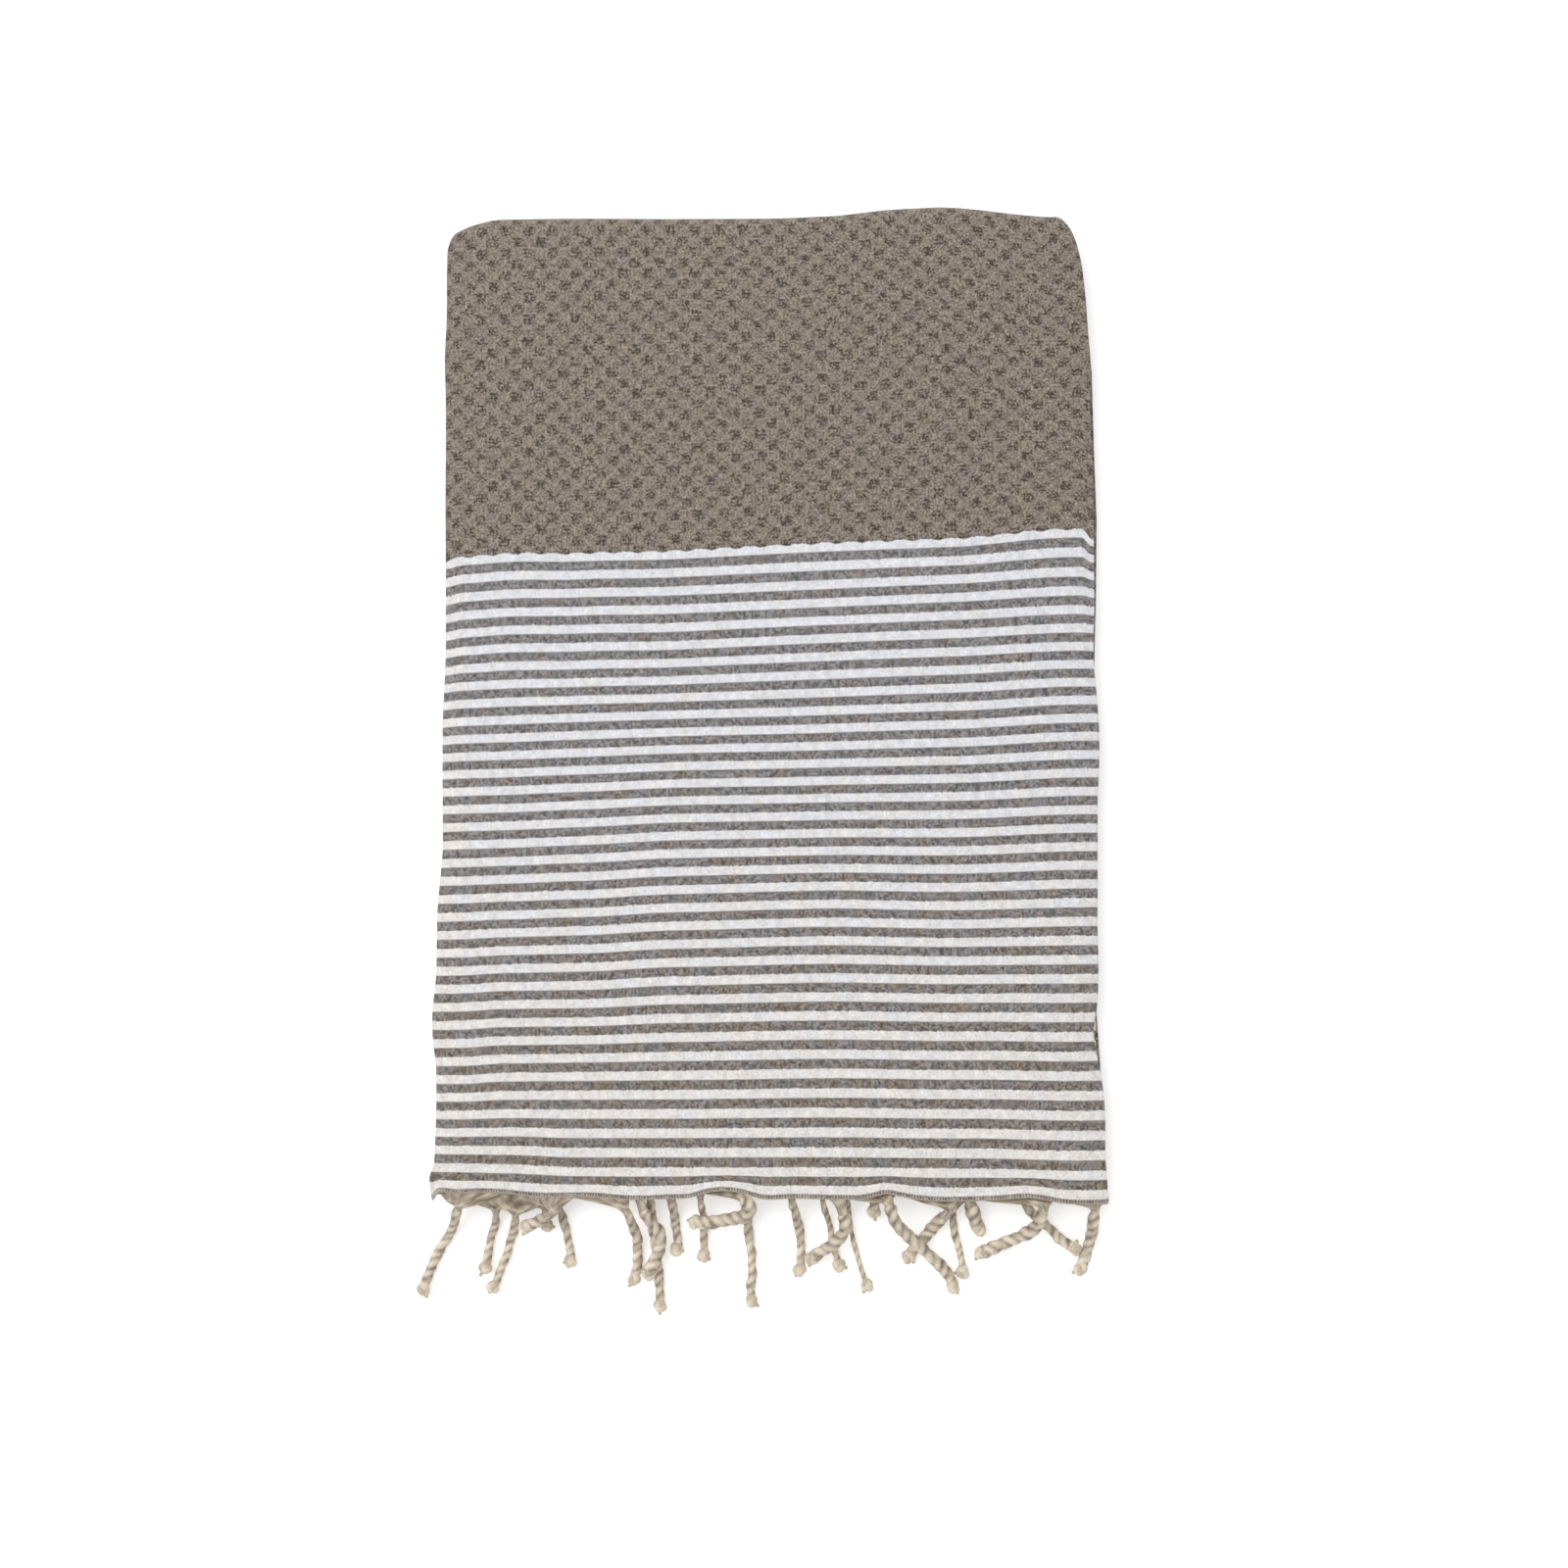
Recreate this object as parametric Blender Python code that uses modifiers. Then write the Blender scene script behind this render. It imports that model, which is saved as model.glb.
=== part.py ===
"""Hammam towel of flat woven cotton, folded in three across and in four along, lying flat.

The cloth is one sheet. Across, it runs back and forth in three plies. Along, it is folded in
half and in half again, so the three plies lie four times over each other. Both ends are at the
front. Each end has a fringe of twisted and knotted warp: a narrow strip of warp yarns along the
end of the cloth, with the tassels standing out from it.

Lengths are in millimetres until they are put into a mesh. +X runs across the folded towel, +Y
runs to the folded edge at the back, and +Z is up from the surface that it lies on.
"""

import math

import bmesh
import bpy
import numpy as np

MM = 0.001
PART_NAME = "hammam_towel"

# The cloth and its folds
CLOTH_THICKNESS = 1.0
PLY_PITCH = 1.5  # from the middle of a ply to the middle of the next one
FOLD_RADIUS = PLY_PITCH / 2  # of the folds along the two sides
HALF_WIDTH = 164.0  # of the folded towel, to the folds along the sides
FRONT_HEM = -225.5  # the upper end of the cloth, above its fringe
BACK_TURN = 264.5  # the middle of the round folds at the back
FRONT_TURN = -216.0  # the middle of the fold at the front, under the hem
LOWER_HEM_SET_BACK = 48.0  # the lower end of the cloth lies this far in from the upper one
BACK_REACH = BACK_TURN + 5.5 * PLY_PITCH + CLOTH_THICKNESS / 2

# Mid-heights of the four layers of three plies, from the surface up
HEIGHT_FIRST = CLOTH_THICKNESS / 2 + PLY_PITCH
LAYER_PITCH = 3 * PLY_PITCH
HEIGHT_SECOND = HEIGHT_FIRST + LAYER_PITCH
HEIGHT_THIRD = HEIGHT_SECOND + LAYER_PITCH
HEIGHT_TOP = HEIGHT_THIRD + LAYER_PITCH
STACK_HEIGHT = HEIGHT_TOP + PLY_PITCH + CLOTH_THICKNESS / 2
BACK_TURN_HEIGHT = (HEIGHT_FIRST + HEIGHT_TOP) / 2

# Rows and columns of the sheet's grid
HIDDEN_PLY_COLUMNS = 6  # the top ply has a column at each row of its edge's table
FOLD_COLUMNS = 4
LAYER_ROWS = 9
OUTER_TURN_ROWS = 7
SMALL_TURN_ROWS = 5

# The two sides of the towel as it lies: place along it, left side, right side
SIDES = (
    # along, left, right
    (-226, -161.0, 164.0),
    (-190, -161.3, 163.6),
    (-150, -163.4, 162.0),
    (-95, -161.5, 164.6),
    (-40, -159.8, 167.0),
    (15, -160.2, 168.6),
    (60, -159.2, 169.6),
    (130, -160.6, 171.6),
    (190, -161.8, 171.2),
    (240, -161.6, 168.8),
    (279, -161.0, 166.0),
)

# The upper end's edge: place across, how far out it reaches past the hem line, how far it lifts
UPPER_EDGE = (
    # across, out, lift
    (-164, -2.0, 0.0),
    (-156, -2.5, 0.0),
    (-146, -2.4, 0.0),
    (-130, -1.5, 0.0),
    (-78, 0.0, 0.0),
    (-44, -1.6, 0.3),
    (-19, -4.4, 3.0),
    (8, 1.7, 0.0),
    (42, 1.8, 0.0),
    (62, -3.4, 2.6),
    (82, 0.8, 0.0),
    (106, 1.6, 0.0),
    (126, -2.4, 2.0),
    (148, 1.2, 0.0),
    (157, 0.7, 0.0),
    (164, 0.2, 0.0),
)
PLY_INSET = 3.0  # each ply of the upper end starts this far in from the ply above it
LOWER_PLY_INSET = 2.0  # each ply of the lower end starts this far in from the ply below it
INSET_FADE = 20.0  # the plies come level again over this width, towards the side folds
EDGE_WAVE_FADE = 55.0  # the edge's waves die out over this length of cloth

# The plan of the folded edge at the back
BACK_SKEW = 10.0  # the left half reaches this much further back
SKEW_FROM, SKEW_TO = 30.0, -135.0
RIGHT_DRAW = 8.5  # the right corner is drawn in by this much
DRAW_FROM, DRAW_TO = 94.0, 160.0
SKEW_STARTS = 96.0  # where the striped end band stops, with its stripes still straight across
CORNER_LEFT, CORNER_RIGHT = 24.0, 23.0  # the round back corners

# Soft swells of the stack: middle across and along, half sizes, height
SWELLS = (
    # across, along, half width, half length, height
    (0, 60, 170, 260, 1.6),
    (-70, 190, 90, 70, 0.7),
    (85, 235, 80, 60, 1.3),
    (95, 40, 70, 90, 0.6),
    (-60, -90, 100, 80, 0.5),
    (60, -150, 90, 60, 0.6),
)
SWELL_EDGE = 26.0  # the swells die out over this width at the two sides

# The fringe
STRIP_GAP = 0.3  # between the cloth's edge and the strip of warp yarns
STRIP_WIDTH = 3.5
STRAND_NECK = 0.7  # the strand's radius where it leaves the strip
NECK_LENGTH = 6.0  # it thickens to its own radius over this length
SQUARE_SHARE = 1.2  # a square strand's corner radius, as a share of the round strand's radius
FLAT_SHARE = math.cos(math.pi / 4)  # from a square's corner radius to half its side
STEPS_A_HEADING = 2  # points on a strand's route from one of its headings to the next
KNOT_LENGTH = 8.0
KNOT_SHARE = 1.45  # the knot's radius, as a share of the strand's

TOP, MIDDLE, BOTTOM = 1, 0, -1  # the plies, as shares of the pitch from the middle one

# The tassels of the upper end. Headings are in degrees from straight out, positive to the
# right, at even steps from root to tip. "fall" is the length over which the strand comes
# down to "rest", the height of its underside from there on.
UPPER_TASSELS = (
    # ply, root across, length, radius, fall, rest, headings
    (TOP, -147, 56, 2.6, 26, 0.0, (-24, -29, -33, -24, -6)),
    (MIDDLE, -129, 43, 2.0, 20, 0.0, (-22, -20, -16, -9, -4)),
    (TOP, -118, 52, 2.0, 22, 0.0, (-26, -22, -15, -22, -28)),
    (TOP, -96, 28, 2.8, 30, 10.0, (-30, -58, -66, -60)),
    (BOTTOM, -109, 24, 2.2, 18, 0.0, (0, 2, 8)),
    (MIDDLE, -104, 40, 2.2, 14, 0.0, (14, 15, 15, 10, -6)),
    (TOP, -68, 42, 2.3, 30, 0.0, (26, 18, -2, -4, -20)),
    (MIDDLE, -60, 47, 2.5, 34, 4.8, (14, 22, 46, -18, -28, -22)),
    (BOTTOM, -54, 61, 2.2, 18, 0.0, (-10, 0, 10, 4, 4)),
    (BOTTOM, -44, 35, 2.4, 20, 0.0, (-2, 2, 6, -9)),
    (MIDDLE, -29, 33, 2.0, 18, 0.0, (-1, -2, -4, 10)),
    (TOP, -12, 46, 2.8, 30, 9.5, (46, 50, 10, -62, -74, -74, -78, -88, -104)),
    (BOTTOM, -9, 59, 2.2, 18, 0.0, (2, 4, 7, 4, -8, 24)),
    (MIDDLE, 15, 37, 2.4, 20, 0.0, (6, 8, 8, -4, -12)),
    (MIDDLE, 30, 37, 1.7, 18, 0.0, (4, 8, 15, 18)),
    (TOP, 37, 41, 2.9, 34, 5.0, (46, 24, -14, -34, -62, -54, -44)),
    (BOTTOM, 42, 50, 1.4, 16, 0.0, (-4, 2, 12, 18, 24)),
    (BOTTOM, 55, 16, 2.4, 20, 3.0, (0, -6)),
    (TOP, 62, 59, 3.0, 58, 0.0, (0, 10, 38, 46, 42, 34, 20)),
    (MIDDLE, 98, 39, 2.3, 27, 0.0, (-36, -46, -42, -32)),
    (BOTTOM, 91, 44, 1.9, 12, 0.0, (-2, 4, 14, 12, -10)),
    (BOTTOM, 100, 24, 2.3, 20, 2.5, (0, 20, 45)),
    (TOP, 135, 47, 3.0, 34, 4.6, (4, -22, -60, -66, -66, -74)),
    (MIDDLE, 124, 36, 2.5, 20, 0.0, (24, 42, 50, 66)),
    (TOP, 160, 38, 2.8, 26, 0.0, (-14, -10, -8, -24, -26)),
)

# The tassels of the lower end lie straight in the gap that its set-back leaves
LOWER_PITCH = 40.0
LOWER_LENGTH = 37.0
LOWER_RADIUS = 1.75
LOWER_SWAY = 6.0  # degrees that their headings change by from one to the next
LOWER_TASSELS = (
    # ply, first tassel across, number
    (TOP, -145, 8),
    (MIDDLE, -132, 8),
    (BOTTOM, -118, 8),
)

CLOTH_COLOUR = (0.225, 0.188, 0.158, 1.0)
YARN_COLOUR = (0.66, 0.58, 0.48, 1.0)
CLOTH_ROUGHNESS = 0.92
YARN_ROUGHNESS = 0.85


# ---------------------------------------------------------------- helpers


def smooth_step(start, end, at):
    """0 before start, 1 after end, and a smooth rise between them."""
    share = np.clip((at - start) / (end - start), 0.0, 1.0)
    return share * share * (3.0 - 2.0 * share)


def through(rows, column, at):
    """The value at a place on the smooth line through a table's rows, level past its ends."""
    places = [row[0] for row in rows]
    values = [row[column] for row in rows]
    slopes = np.gradient(values, places)
    at = min(max(at, places[0]), places[-1])
    k = min(int(np.searchsorted(places, at, side="right")) - 1, len(places) - 2)
    gap = places[k + 1] - places[k]
    t = (at - places[k]) / gap
    return (
        (1 + 2 * t) * (1 - t) ** 2 * values[k]
        + t * (1 - t) ** 2 * gap * slopes[k]
        + t * t * (3 - 2 * t) * values[k + 1]
        + t * t * (t - 1) * gap * slopes[k + 1]
    )


def make_material(name, colour, roughness):
    """A plain finish."""
    material = bpy.data.materials.new(name)
    material.use_nodes = True
    shader = material.node_tree.nodes["Principled BSDF"]
    shader.inputs["Base Color"].default_value = colour
    shader.inputs["Roughness"].default_value = roughness
    shader.inputs["Metallic"].default_value = 0.0
    material.diffuse_color = colour
    return material


def make_collection(name):
    """A collection of the scene."""
    collection = bpy.data.collections.new(name)
    bpy.context.scene.collection.children.link(collection)
    return collection


# ---------------------------------------------------------------- the cloth's folds


def across_stations():
    """Across the cloth, from its free edge on top: (share of the half width, bulge past the
    side fold, height above the middle ply)."""
    stations = [(-1.0, 0.0, PLY_PITCH)]
    for place, *_ in UPPER_EDGE[1:-1]:
        stations.append((place / HALF_WIDTH, 0.0, PLY_PITCH))
    for turn in np.linspace(math.pi / 2, -math.pi / 2, FOLD_COLUMNS + 1):
        bulge, height = FOLD_RADIUS * math.cos(turn), FOLD_RADIUS * math.sin(turn)
        stations.append((1.0, bulge, FOLD_RADIUS + height))
    for share in np.linspace(1, -1, HIDDEN_PLY_COLUMNS + 1)[1:-1]:
        stations.append((share, 0.0, 0.0))
    for turn in np.linspace(math.pi / 2, -math.pi / 2, FOLD_COLUMNS + 1):
        bulge, height = FOLD_RADIUS * math.cos(turn), FOLD_RADIUS * math.sin(turn)
        stations.append((-1.0, -bulge, height - FOLD_RADIUS))
    for share in np.linspace(-1, 1, HIDDEN_PLY_COLUMNS + 1)[1:]:
        stations.append((share, 0.0, -PLY_PITCH))
    return stations


def flat_run(start, end, height, up, rows):
    """One layer, as (along, height, the normal's two parts), closer together at its ends."""
    shares = 0.5 - 0.5 * np.cos(np.linspace(0, math.pi, rows + 1))
    shares = 0.5 * shares + 0.5 * np.linspace(0, 1, rows + 1)
    return [(start + (end - start) * share, height, 0.0, up) for share in shares]


def turn_run(along, height, radius, first, last, side, rows):
    """One fold, an arc from the first angle to the last; side 1 has the normal outward."""
    stations = []
    for angle in np.radians(np.linspace(first, last, rows + 1)[1:-1]):
        outward = (math.cos(angle), math.sin(angle))
        stations.append(
            (
                along + radius * outward[0],
                height + radius * outward[1],
                side * outward[0],
                side * outward[1],
            )
        )
    return stations


def along_stations():
    """Along the cloth, from the upper hem back, round and forward to the lower hem."""
    lower_hem = FRONT_HEM + LOWER_HEM_SET_BACK
    small = LAYER_PITCH / 2
    outer = (HEIGHT_TOP - HEIGHT_FIRST) / 2
    front_height = (HEIGHT_FIRST + HEIGHT_SECOND) / 2
    return (
        flat_run(FRONT_HEM, BACK_TURN, HEIGHT_TOP, 1, LAYER_ROWS)
        + turn_run(BACK_TURN, BACK_TURN_HEIGHT, outer, 90, -90, 1, OUTER_TURN_ROWS)
        + flat_run(BACK_TURN, FRONT_TURN, HEIGHT_FIRST, -1, LAYER_ROWS)
        + turn_run(FRONT_TURN, front_height, small, 270, 90, 1, SMALL_TURN_ROWS)
        + flat_run(FRONT_TURN, BACK_TURN, HEIGHT_SECOND, 1, LAYER_ROWS)
        + turn_run(BACK_TURN, BACK_TURN_HEIGHT, small, -90, 90, -1, SMALL_TURN_ROWS)
        + flat_run(BACK_TURN, lower_hem, HEIGHT_THIRD, -1, LAYER_ROWS)
    )


def strip_stations(hem, height, up):
    """The strip of warp yarns past a hem, parted from the cloth by a narrow gap."""
    return [
        (hem - STRIP_GAP - STRIP_WIDTH, height, 0.0, up),
        (hem - STRIP_GAP, height, 0.0, up),
    ]


# ---------------------------------------------------------------- how the towel lies


def edge_shift(across, along, height, ply_height, to_side):
    """(inward, upward) shift of the cloth near its two ends, which differs from ply to ply."""
    steps_down = 1.0 - ply_height / PLY_PITCH
    staggered = steps_down * smooth_step(0.0, INSET_FADE, to_side)
    if height == HEIGHT_TOP:
        fade = 1.0 - smooth_step(0.0, EDGE_WAVE_FADE, along - FRONT_HEM)
        top_share = max(0.0, 1.0 - steps_down)
        out = through(UPPER_EDGE, 1, across) * top_share
        lift = through(UPPER_EDGE, 2, across) * top_share
        return (PLY_INSET * staggered - out) * fade, lift * fade
    if height == HEIGHT_THIRD:
        lower_hem = FRONT_HEM + LOWER_HEM_SET_BACK
        fade = 1.0 - smooth_step(0.0, EDGE_WAVE_FADE, along - lower_hem)
        return LOWER_PLY_INSET * staggered * fade, 0.0
    return 0.0, 0.0


def round_corner(across, along, left, right):
    """Draws a back corner in: a square's corner region becomes a quarter of a round one."""
    radius = CORNER_LEFT if across < 0 else CORNER_RIGHT
    side = left if across < 0 else right
    a = 1.0 - (side - across) / math.copysign(radius, side)
    b = 1.0 - (BACK_REACH - along) / radius
    if a <= 0.0 or b <= 0.0:
        return across, along
    drawn_a = a * math.sqrt(1.0 - b * b / 2)
    drawn_b = b * math.sqrt(1.0 - a * a / 2)
    across = side - (1.0 - drawn_a) * math.copysign(radius, side)
    return across, BACK_REACH - (1.0 - drawn_b) * radius


def swell(across, along, left, right):
    """How far the top of the stack stands above its plain height."""
    edge = smooth_step(0.0, SWELL_EDGE, min(across - left, right - across))
    height = 0.0
    for middle_x, middle_y, half_x, half_y, rise in SWELLS:
        far = ((across - middle_x) / half_x) ** 2 + ((along - middle_y) / half_y) ** 2
        height += rise * (1.0 - smooth_step(0.0, 1.0, far))
    return height * edge


def swelled(across, along, up, left, right):
    """The height of a point with the swells: none at the underside, all of it at the top."""
    share_up = max(0.0, up - CLOTH_THICKNESS) / (STACK_HEIGHT - CLOTH_THICKNESS)
    return up + swell(across, along, left, right) * share_up


def sides(along):
    """The left and the right side of the towel at a place along it."""
    return through(SIDES, 1, along), through(SIDES, 2, along)


def laid(station, row):
    """Where a point of the folded cloth lies, in millimetres: across, along, up."""
    share, bulge, ply_height = station
    along_line, height, normal_along, normal_up = row
    along = along_line + ply_height * normal_along
    up = height + ply_height * normal_up
    left, right = sides(along)
    across = (left + right) / 2 + share * (right - left) / 2 + bulge
    to_side = (1.0 - abs(share)) * (right - left) / 2
    inward, lift = edge_shift(across, along_line, height, ply_height, to_side)
    along, up = along + inward, up + lift
    across, along = round_corner(across, along, left, right)
    back = np.clip((along - SKEW_STARTS) / (BACK_REACH - SKEW_STARTS), 0.0, 1.0)
    along += back * BACK_SKEW * smooth_step(SKEW_FROM, SKEW_TO, across)
    along -= back * RIGHT_DRAW * smooth_step(DRAW_FROM, DRAW_TO, across)
    return across, along, swelled(across, along, up, left, right)


def folded_sheet(name, rows, material, collection):
    """A stretch of the folded cloth: a grid laid in its folds, then given its thickness."""
    stations = across_stations()
    mesh = bpy.data.meshes.new(name)
    grid = bmesh.new()
    bmesh.ops.create_grid(
        grid, x_segments=len(stations) - 1, y_segments=len(rows) - 1, size=0.5
    )
    for vertex in grid.verts:
        column = round((vertex.co.x + 0.5) * (len(stations) - 1))
        row = round((vertex.co.y + 0.5) * (len(rows) - 1))
        vertex.co = [MM * value for value in laid(stations[column], rows[row])]
    grid.to_mesh(mesh)
    grid.free()
    mesh.materials.append(material)
    sheet = bpy.data.objects.new(name, mesh)
    collection.objects.link(sheet)
    solidify = sheet.modifiers.new("thickness", "SOLIDIFY")
    solidify.thickness = CLOTH_THICKNESS * MM
    solidify.offset = 0.0
    return sheet


# ---------------------------------------------------------------- the fringe


def strand_points(root, heading_steps, length, radius, fall, rest):
    """A strand's route and its radius along it: it leaves the strip level, comes down over
    its fall, and lies level from there, its underside at the rest height."""
    steps = STEPS_A_HEADING * (len(heading_steps) - 1)
    body = np.linspace(0.0, length - KNOT_LENGTH, steps + 1)
    knot = length - KNOT_LENGTH * np.array([0.72, 0.38, 0.0])
    travel = np.concatenate([body, knot])
    full = np.concatenate(
        [
            STRAND_NECK + (radius - STRAND_NECK) * smooth_step(0.0, NECK_LENGTH, body),
            radius * np.array([KNOT_SHARE, KNOT_SHARE, 0.6]),
        ]
    )
    fine = np.linspace(0.0, length, 200)
    turns = np.interp(fine, np.linspace(0.0, length, len(heading_steps)), heading_steps)
    stride = fine[1] - fine[0]
    across = root[0] + np.cumsum(np.sin(np.radians(turns))) * stride
    along = root[1] - np.cumsum(np.cos(np.radians(turns))) * stride
    corner = full * SQUARE_SHARE
    settled = rest + corner * FLAT_SHARE
    down = smooth_step(0.0, fall, travel)
    up = root[2] * (1.0 - down) + settled * down
    places = np.interp(travel, fine, across), np.interp(travel, fine, along)
    return [
        (x, y, swelled(x, y, z, *sides(y)), size) for x, y, z, size in zip(*places, up, corner)
    ]


def square_strand(name, route, material, collection):
    """A strand of four sides with a flat underside, made from a curve with a bevel."""
    curve = bpy.data.curves.new(name, "CURVE")
    curve.dimensions = "3D"
    curve.twist_mode = "Z_UP"
    curve.bevel_depth = MM
    curve.bevel_resolution = 0
    curve.use_fill_caps = True
    spline = curve.splines.new("POLY")
    spline.points.add(len(route) - 1)
    for point, (across, along, up, corner) in zip(spline.points, route):
        point.co = (across * MM, along * MM, up * MM, 1.0)
        point.radius = corner
        point.tilt = math.pi / 4
    guide = bpy.data.objects.new(name + "_route", curve)
    collection.objects.link(guide)
    evaluated = guide.evaluated_get(bpy.context.evaluated_depsgraph_get())
    mesh = bpy.data.meshes.new_from_object(evaluated)
    bpy.data.objects.remove(guide)
    weld = bmesh.new()
    weld.from_mesh(mesh)
    bmesh.ops.remove_doubles(weld, verts=weld.verts, dist=0.01 * MM)
    bmesh.ops.recalc_face_normals(weld, faces=weld.faces)
    weld.to_mesh(mesh)
    weld.free()
    mesh.materials.clear()
    mesh.materials.append(material)
    strand = bpy.data.objects.new(name, mesh)
    strand.hide_render = True
    strand.display_type = "WIRE"
    collection.objects.link(strand)
    return strand


def strip_root(across, ply, hem, height, up):
    """Where a strand leaves the strip: at the given place across, in the given ply."""
    row = (hem - STRIP_GAP - STRIP_WIDTH / 2, height, 0.0, up)
    left, right = sides(row[0])
    share = (across - (left + right) / 2) / ((right - left) / 2)
    return laid((share, 0.0, ply * PLY_PITCH), row)


def fringe(name, hem, height, up, tassels, material, parts, guides):
    """A strip of warp yarns along one end of the cloth, with its tassels fused to it."""
    strip = folded_sheet(name, strip_stations(hem, height, up), material, parts)
    strands = bpy.data.collections.new(name + "_strands")
    guides.children.link(strands)
    for number, (ply, across, length, radius, fall, rest, headings) in enumerate(tassels):
        root = strip_root(across, ply, hem, height, up)
        route = strand_points(root, headings, length, radius, fall, rest)
        square_strand(f"{name}_strand_{number + 1:02d}", route, material, strands)
    fuse = strip.modifiers.new("fused roots", "BOOLEAN")
    fuse.operation = "UNION"
    fuse.solver = "EXACT"
    fuse.operand_type = "COLLECTION"
    fuse.collection = strands
    return strip


def lower_tassel_rows():
    """The lower end's tassels, evenly spaced in each ply, each a little out of line."""
    rows = []
    level = HEIGHT_SECOND + PLY_PITCH + CLOTH_THICKNESS / 2 + STRIP_GAP
    for ply, first, number in LOWER_TASSELS:
        for k in range(number):
            sway = LOWER_SWAY * math.sin(2.4 * k + ply)
            headings = (0.0, sway, -0.5 * sway)
            rows.append(
                (ply, first + k * LOWER_PITCH, LOWER_LENGTH, LOWER_RADIUS, 8.0, level, headings)
            )
    return rows


# ---------------------------------------------------------------- the towel


def build():
    for old in list(bpy.data.objects):
        bpy.data.objects.remove(old, do_unlink=True)
    parts = make_collection(PART_NAME)
    guides = make_collection(PART_NAME + "_strands")
    cloth = make_material("woven cotton", CLOTH_COLOUR, CLOTH_ROUGHNESS)
    yarn = make_material("twisted cotton yarn", YARN_COLOUR, YARN_ROUGHNESS)
    folded_sheet("towel", along_stations(), cloth, parts)
    fringe("fringe_upper", FRONT_HEM, HEIGHT_TOP, 1, UPPER_TASSELS, yarn, parts, guides)
    lower_hem = FRONT_HEM + LOWER_HEM_SET_BACK
    fringe(
        "fringe_lower", lower_hem, HEIGHT_THIRD, -1, lower_tassel_rows(), yarn, parts, guides
    )


build()
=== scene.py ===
"""The looks of a folded hammam towel: its woven cloth and its twisted fringe.

The cloth is one sheet in the folds of its solid: three plies across, four layers along. Each
end runs out into bundles of warp that are twisted in two plies and knotted. All shapes are
worked out in millimetres in the part's own frame: +X across, +Y to the round folded edge at the
back, +Z up from the surface that the towel lies on.
"""

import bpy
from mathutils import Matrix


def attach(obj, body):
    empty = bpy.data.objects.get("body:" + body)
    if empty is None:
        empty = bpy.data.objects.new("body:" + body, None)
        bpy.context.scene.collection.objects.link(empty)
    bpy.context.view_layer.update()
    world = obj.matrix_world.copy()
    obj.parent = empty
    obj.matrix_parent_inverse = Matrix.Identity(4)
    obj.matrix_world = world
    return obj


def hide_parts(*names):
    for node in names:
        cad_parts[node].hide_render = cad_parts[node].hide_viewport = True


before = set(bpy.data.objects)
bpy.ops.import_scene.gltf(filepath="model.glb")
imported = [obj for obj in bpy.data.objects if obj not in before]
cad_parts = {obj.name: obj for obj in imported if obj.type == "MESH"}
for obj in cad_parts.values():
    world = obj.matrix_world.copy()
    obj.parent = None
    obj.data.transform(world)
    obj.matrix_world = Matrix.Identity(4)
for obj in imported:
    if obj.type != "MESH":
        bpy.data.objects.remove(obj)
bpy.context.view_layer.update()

import math

import bpy
import numpy as np
from mathutils import Matrix, Vector

MM = 0.001
UPWARD = (0.0, 0.0, 1.0)

# ------ sizes, as in the solid

CLOTH_THICKNESS = 1.0
PLY_PITCH = 1.5
FOLD_RADIUS = PLY_PITCH / 2
HALF_WIDTH = 164.0
FRONT_HEM = -225.5
BACK_TURN = 264.5
FRONT_TURN = -216.0
LOWER_SET_BACK = 48.0
LOWER_HEM = FRONT_HEM + LOWER_SET_BACK
BACK_REACH = BACK_TURN + 5.5 * PLY_PITCH + CLOTH_THICKNESS / 2
HEIGHT_FIRST = CLOTH_THICKNESS / 2 + PLY_PITCH
LAYER_PITCH = 3 * PLY_PITCH
HEIGHT_SECOND = HEIGHT_FIRST + LAYER_PITCH
HEIGHT_THIRD = HEIGHT_SECOND + LAYER_PITCH
HEIGHT_TOP = HEIGHT_THIRD + LAYER_PITCH
STACK_HEIGHT = HEIGHT_TOP + PLY_PITCH + CLOTH_THICKNESS / 2
BACK_TURN_HEIGHT = (HEIGHT_FIRST + HEIGHT_TOP) / 2

SIDES = (
    # along, left, right
    (-226, -161, 164), (-190, -161.3, 163.6), (-150, -163.4, 162), (-95, -161.5, 164.6),
    (-40, -159.8, 167), (15, -160.2, 168.6), (60, -159.2, 169.6), (130, -160.6, 171.6),
    (190, -161.8, 171.2), (240, -161.6, 168.8), (279, -161, 166),
)
UPPER_EDGE = (
    # across, out, lift
    (-164, -2, 0), (-156, -2.5, 0), (-146, -2.4, 0), (-130, -1.5, 0),
    (-78, 0, 0), (-44, -1.6, 0.3), (-19, -4.4, 3), (8, 1.7, 0),
    (42, 1.8, 0), (62, -3.4, 2.6), (82, 0.8, 0), (106, 1.6, 0),
    (126, -2.4, 2), (148, 1.2, 0), (157, 0.7, 0), (164, 0.2, 0),
)
PLY_INSET, LOWER_PLY_INSET = 3.0, 2.0
INSET_FADE, EDGE_WAVE_FADE = 20.0, 55.0
SKEW_STARTS = 96.0  # along: from here to the back edge, the cloth is skewed and drawn in
BACK_SKEW = 10.0
SKEW_FROM, SKEW_TO = 30.0, -135.0
RIGHT_DRAW = 7.9
DRAW_FROM, DRAW_TO = 94.0, 152.0
SWELLS = (
    # across, along, half width, half length, height
    (0, 60, 170, 260, 1.6),
    (-70, 190, 90, 70, 0.7),
    (85, 235, 80, 60, 1.3),
    (95, 40, 70, 90, 0.6),
    (-60, -90, 100, 80, 0.5),
    (60, -150, 90, 60, 0.6),
)
SWELL_EDGE = 26.0

# ------ the cloth's lie, in finer steps

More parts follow.
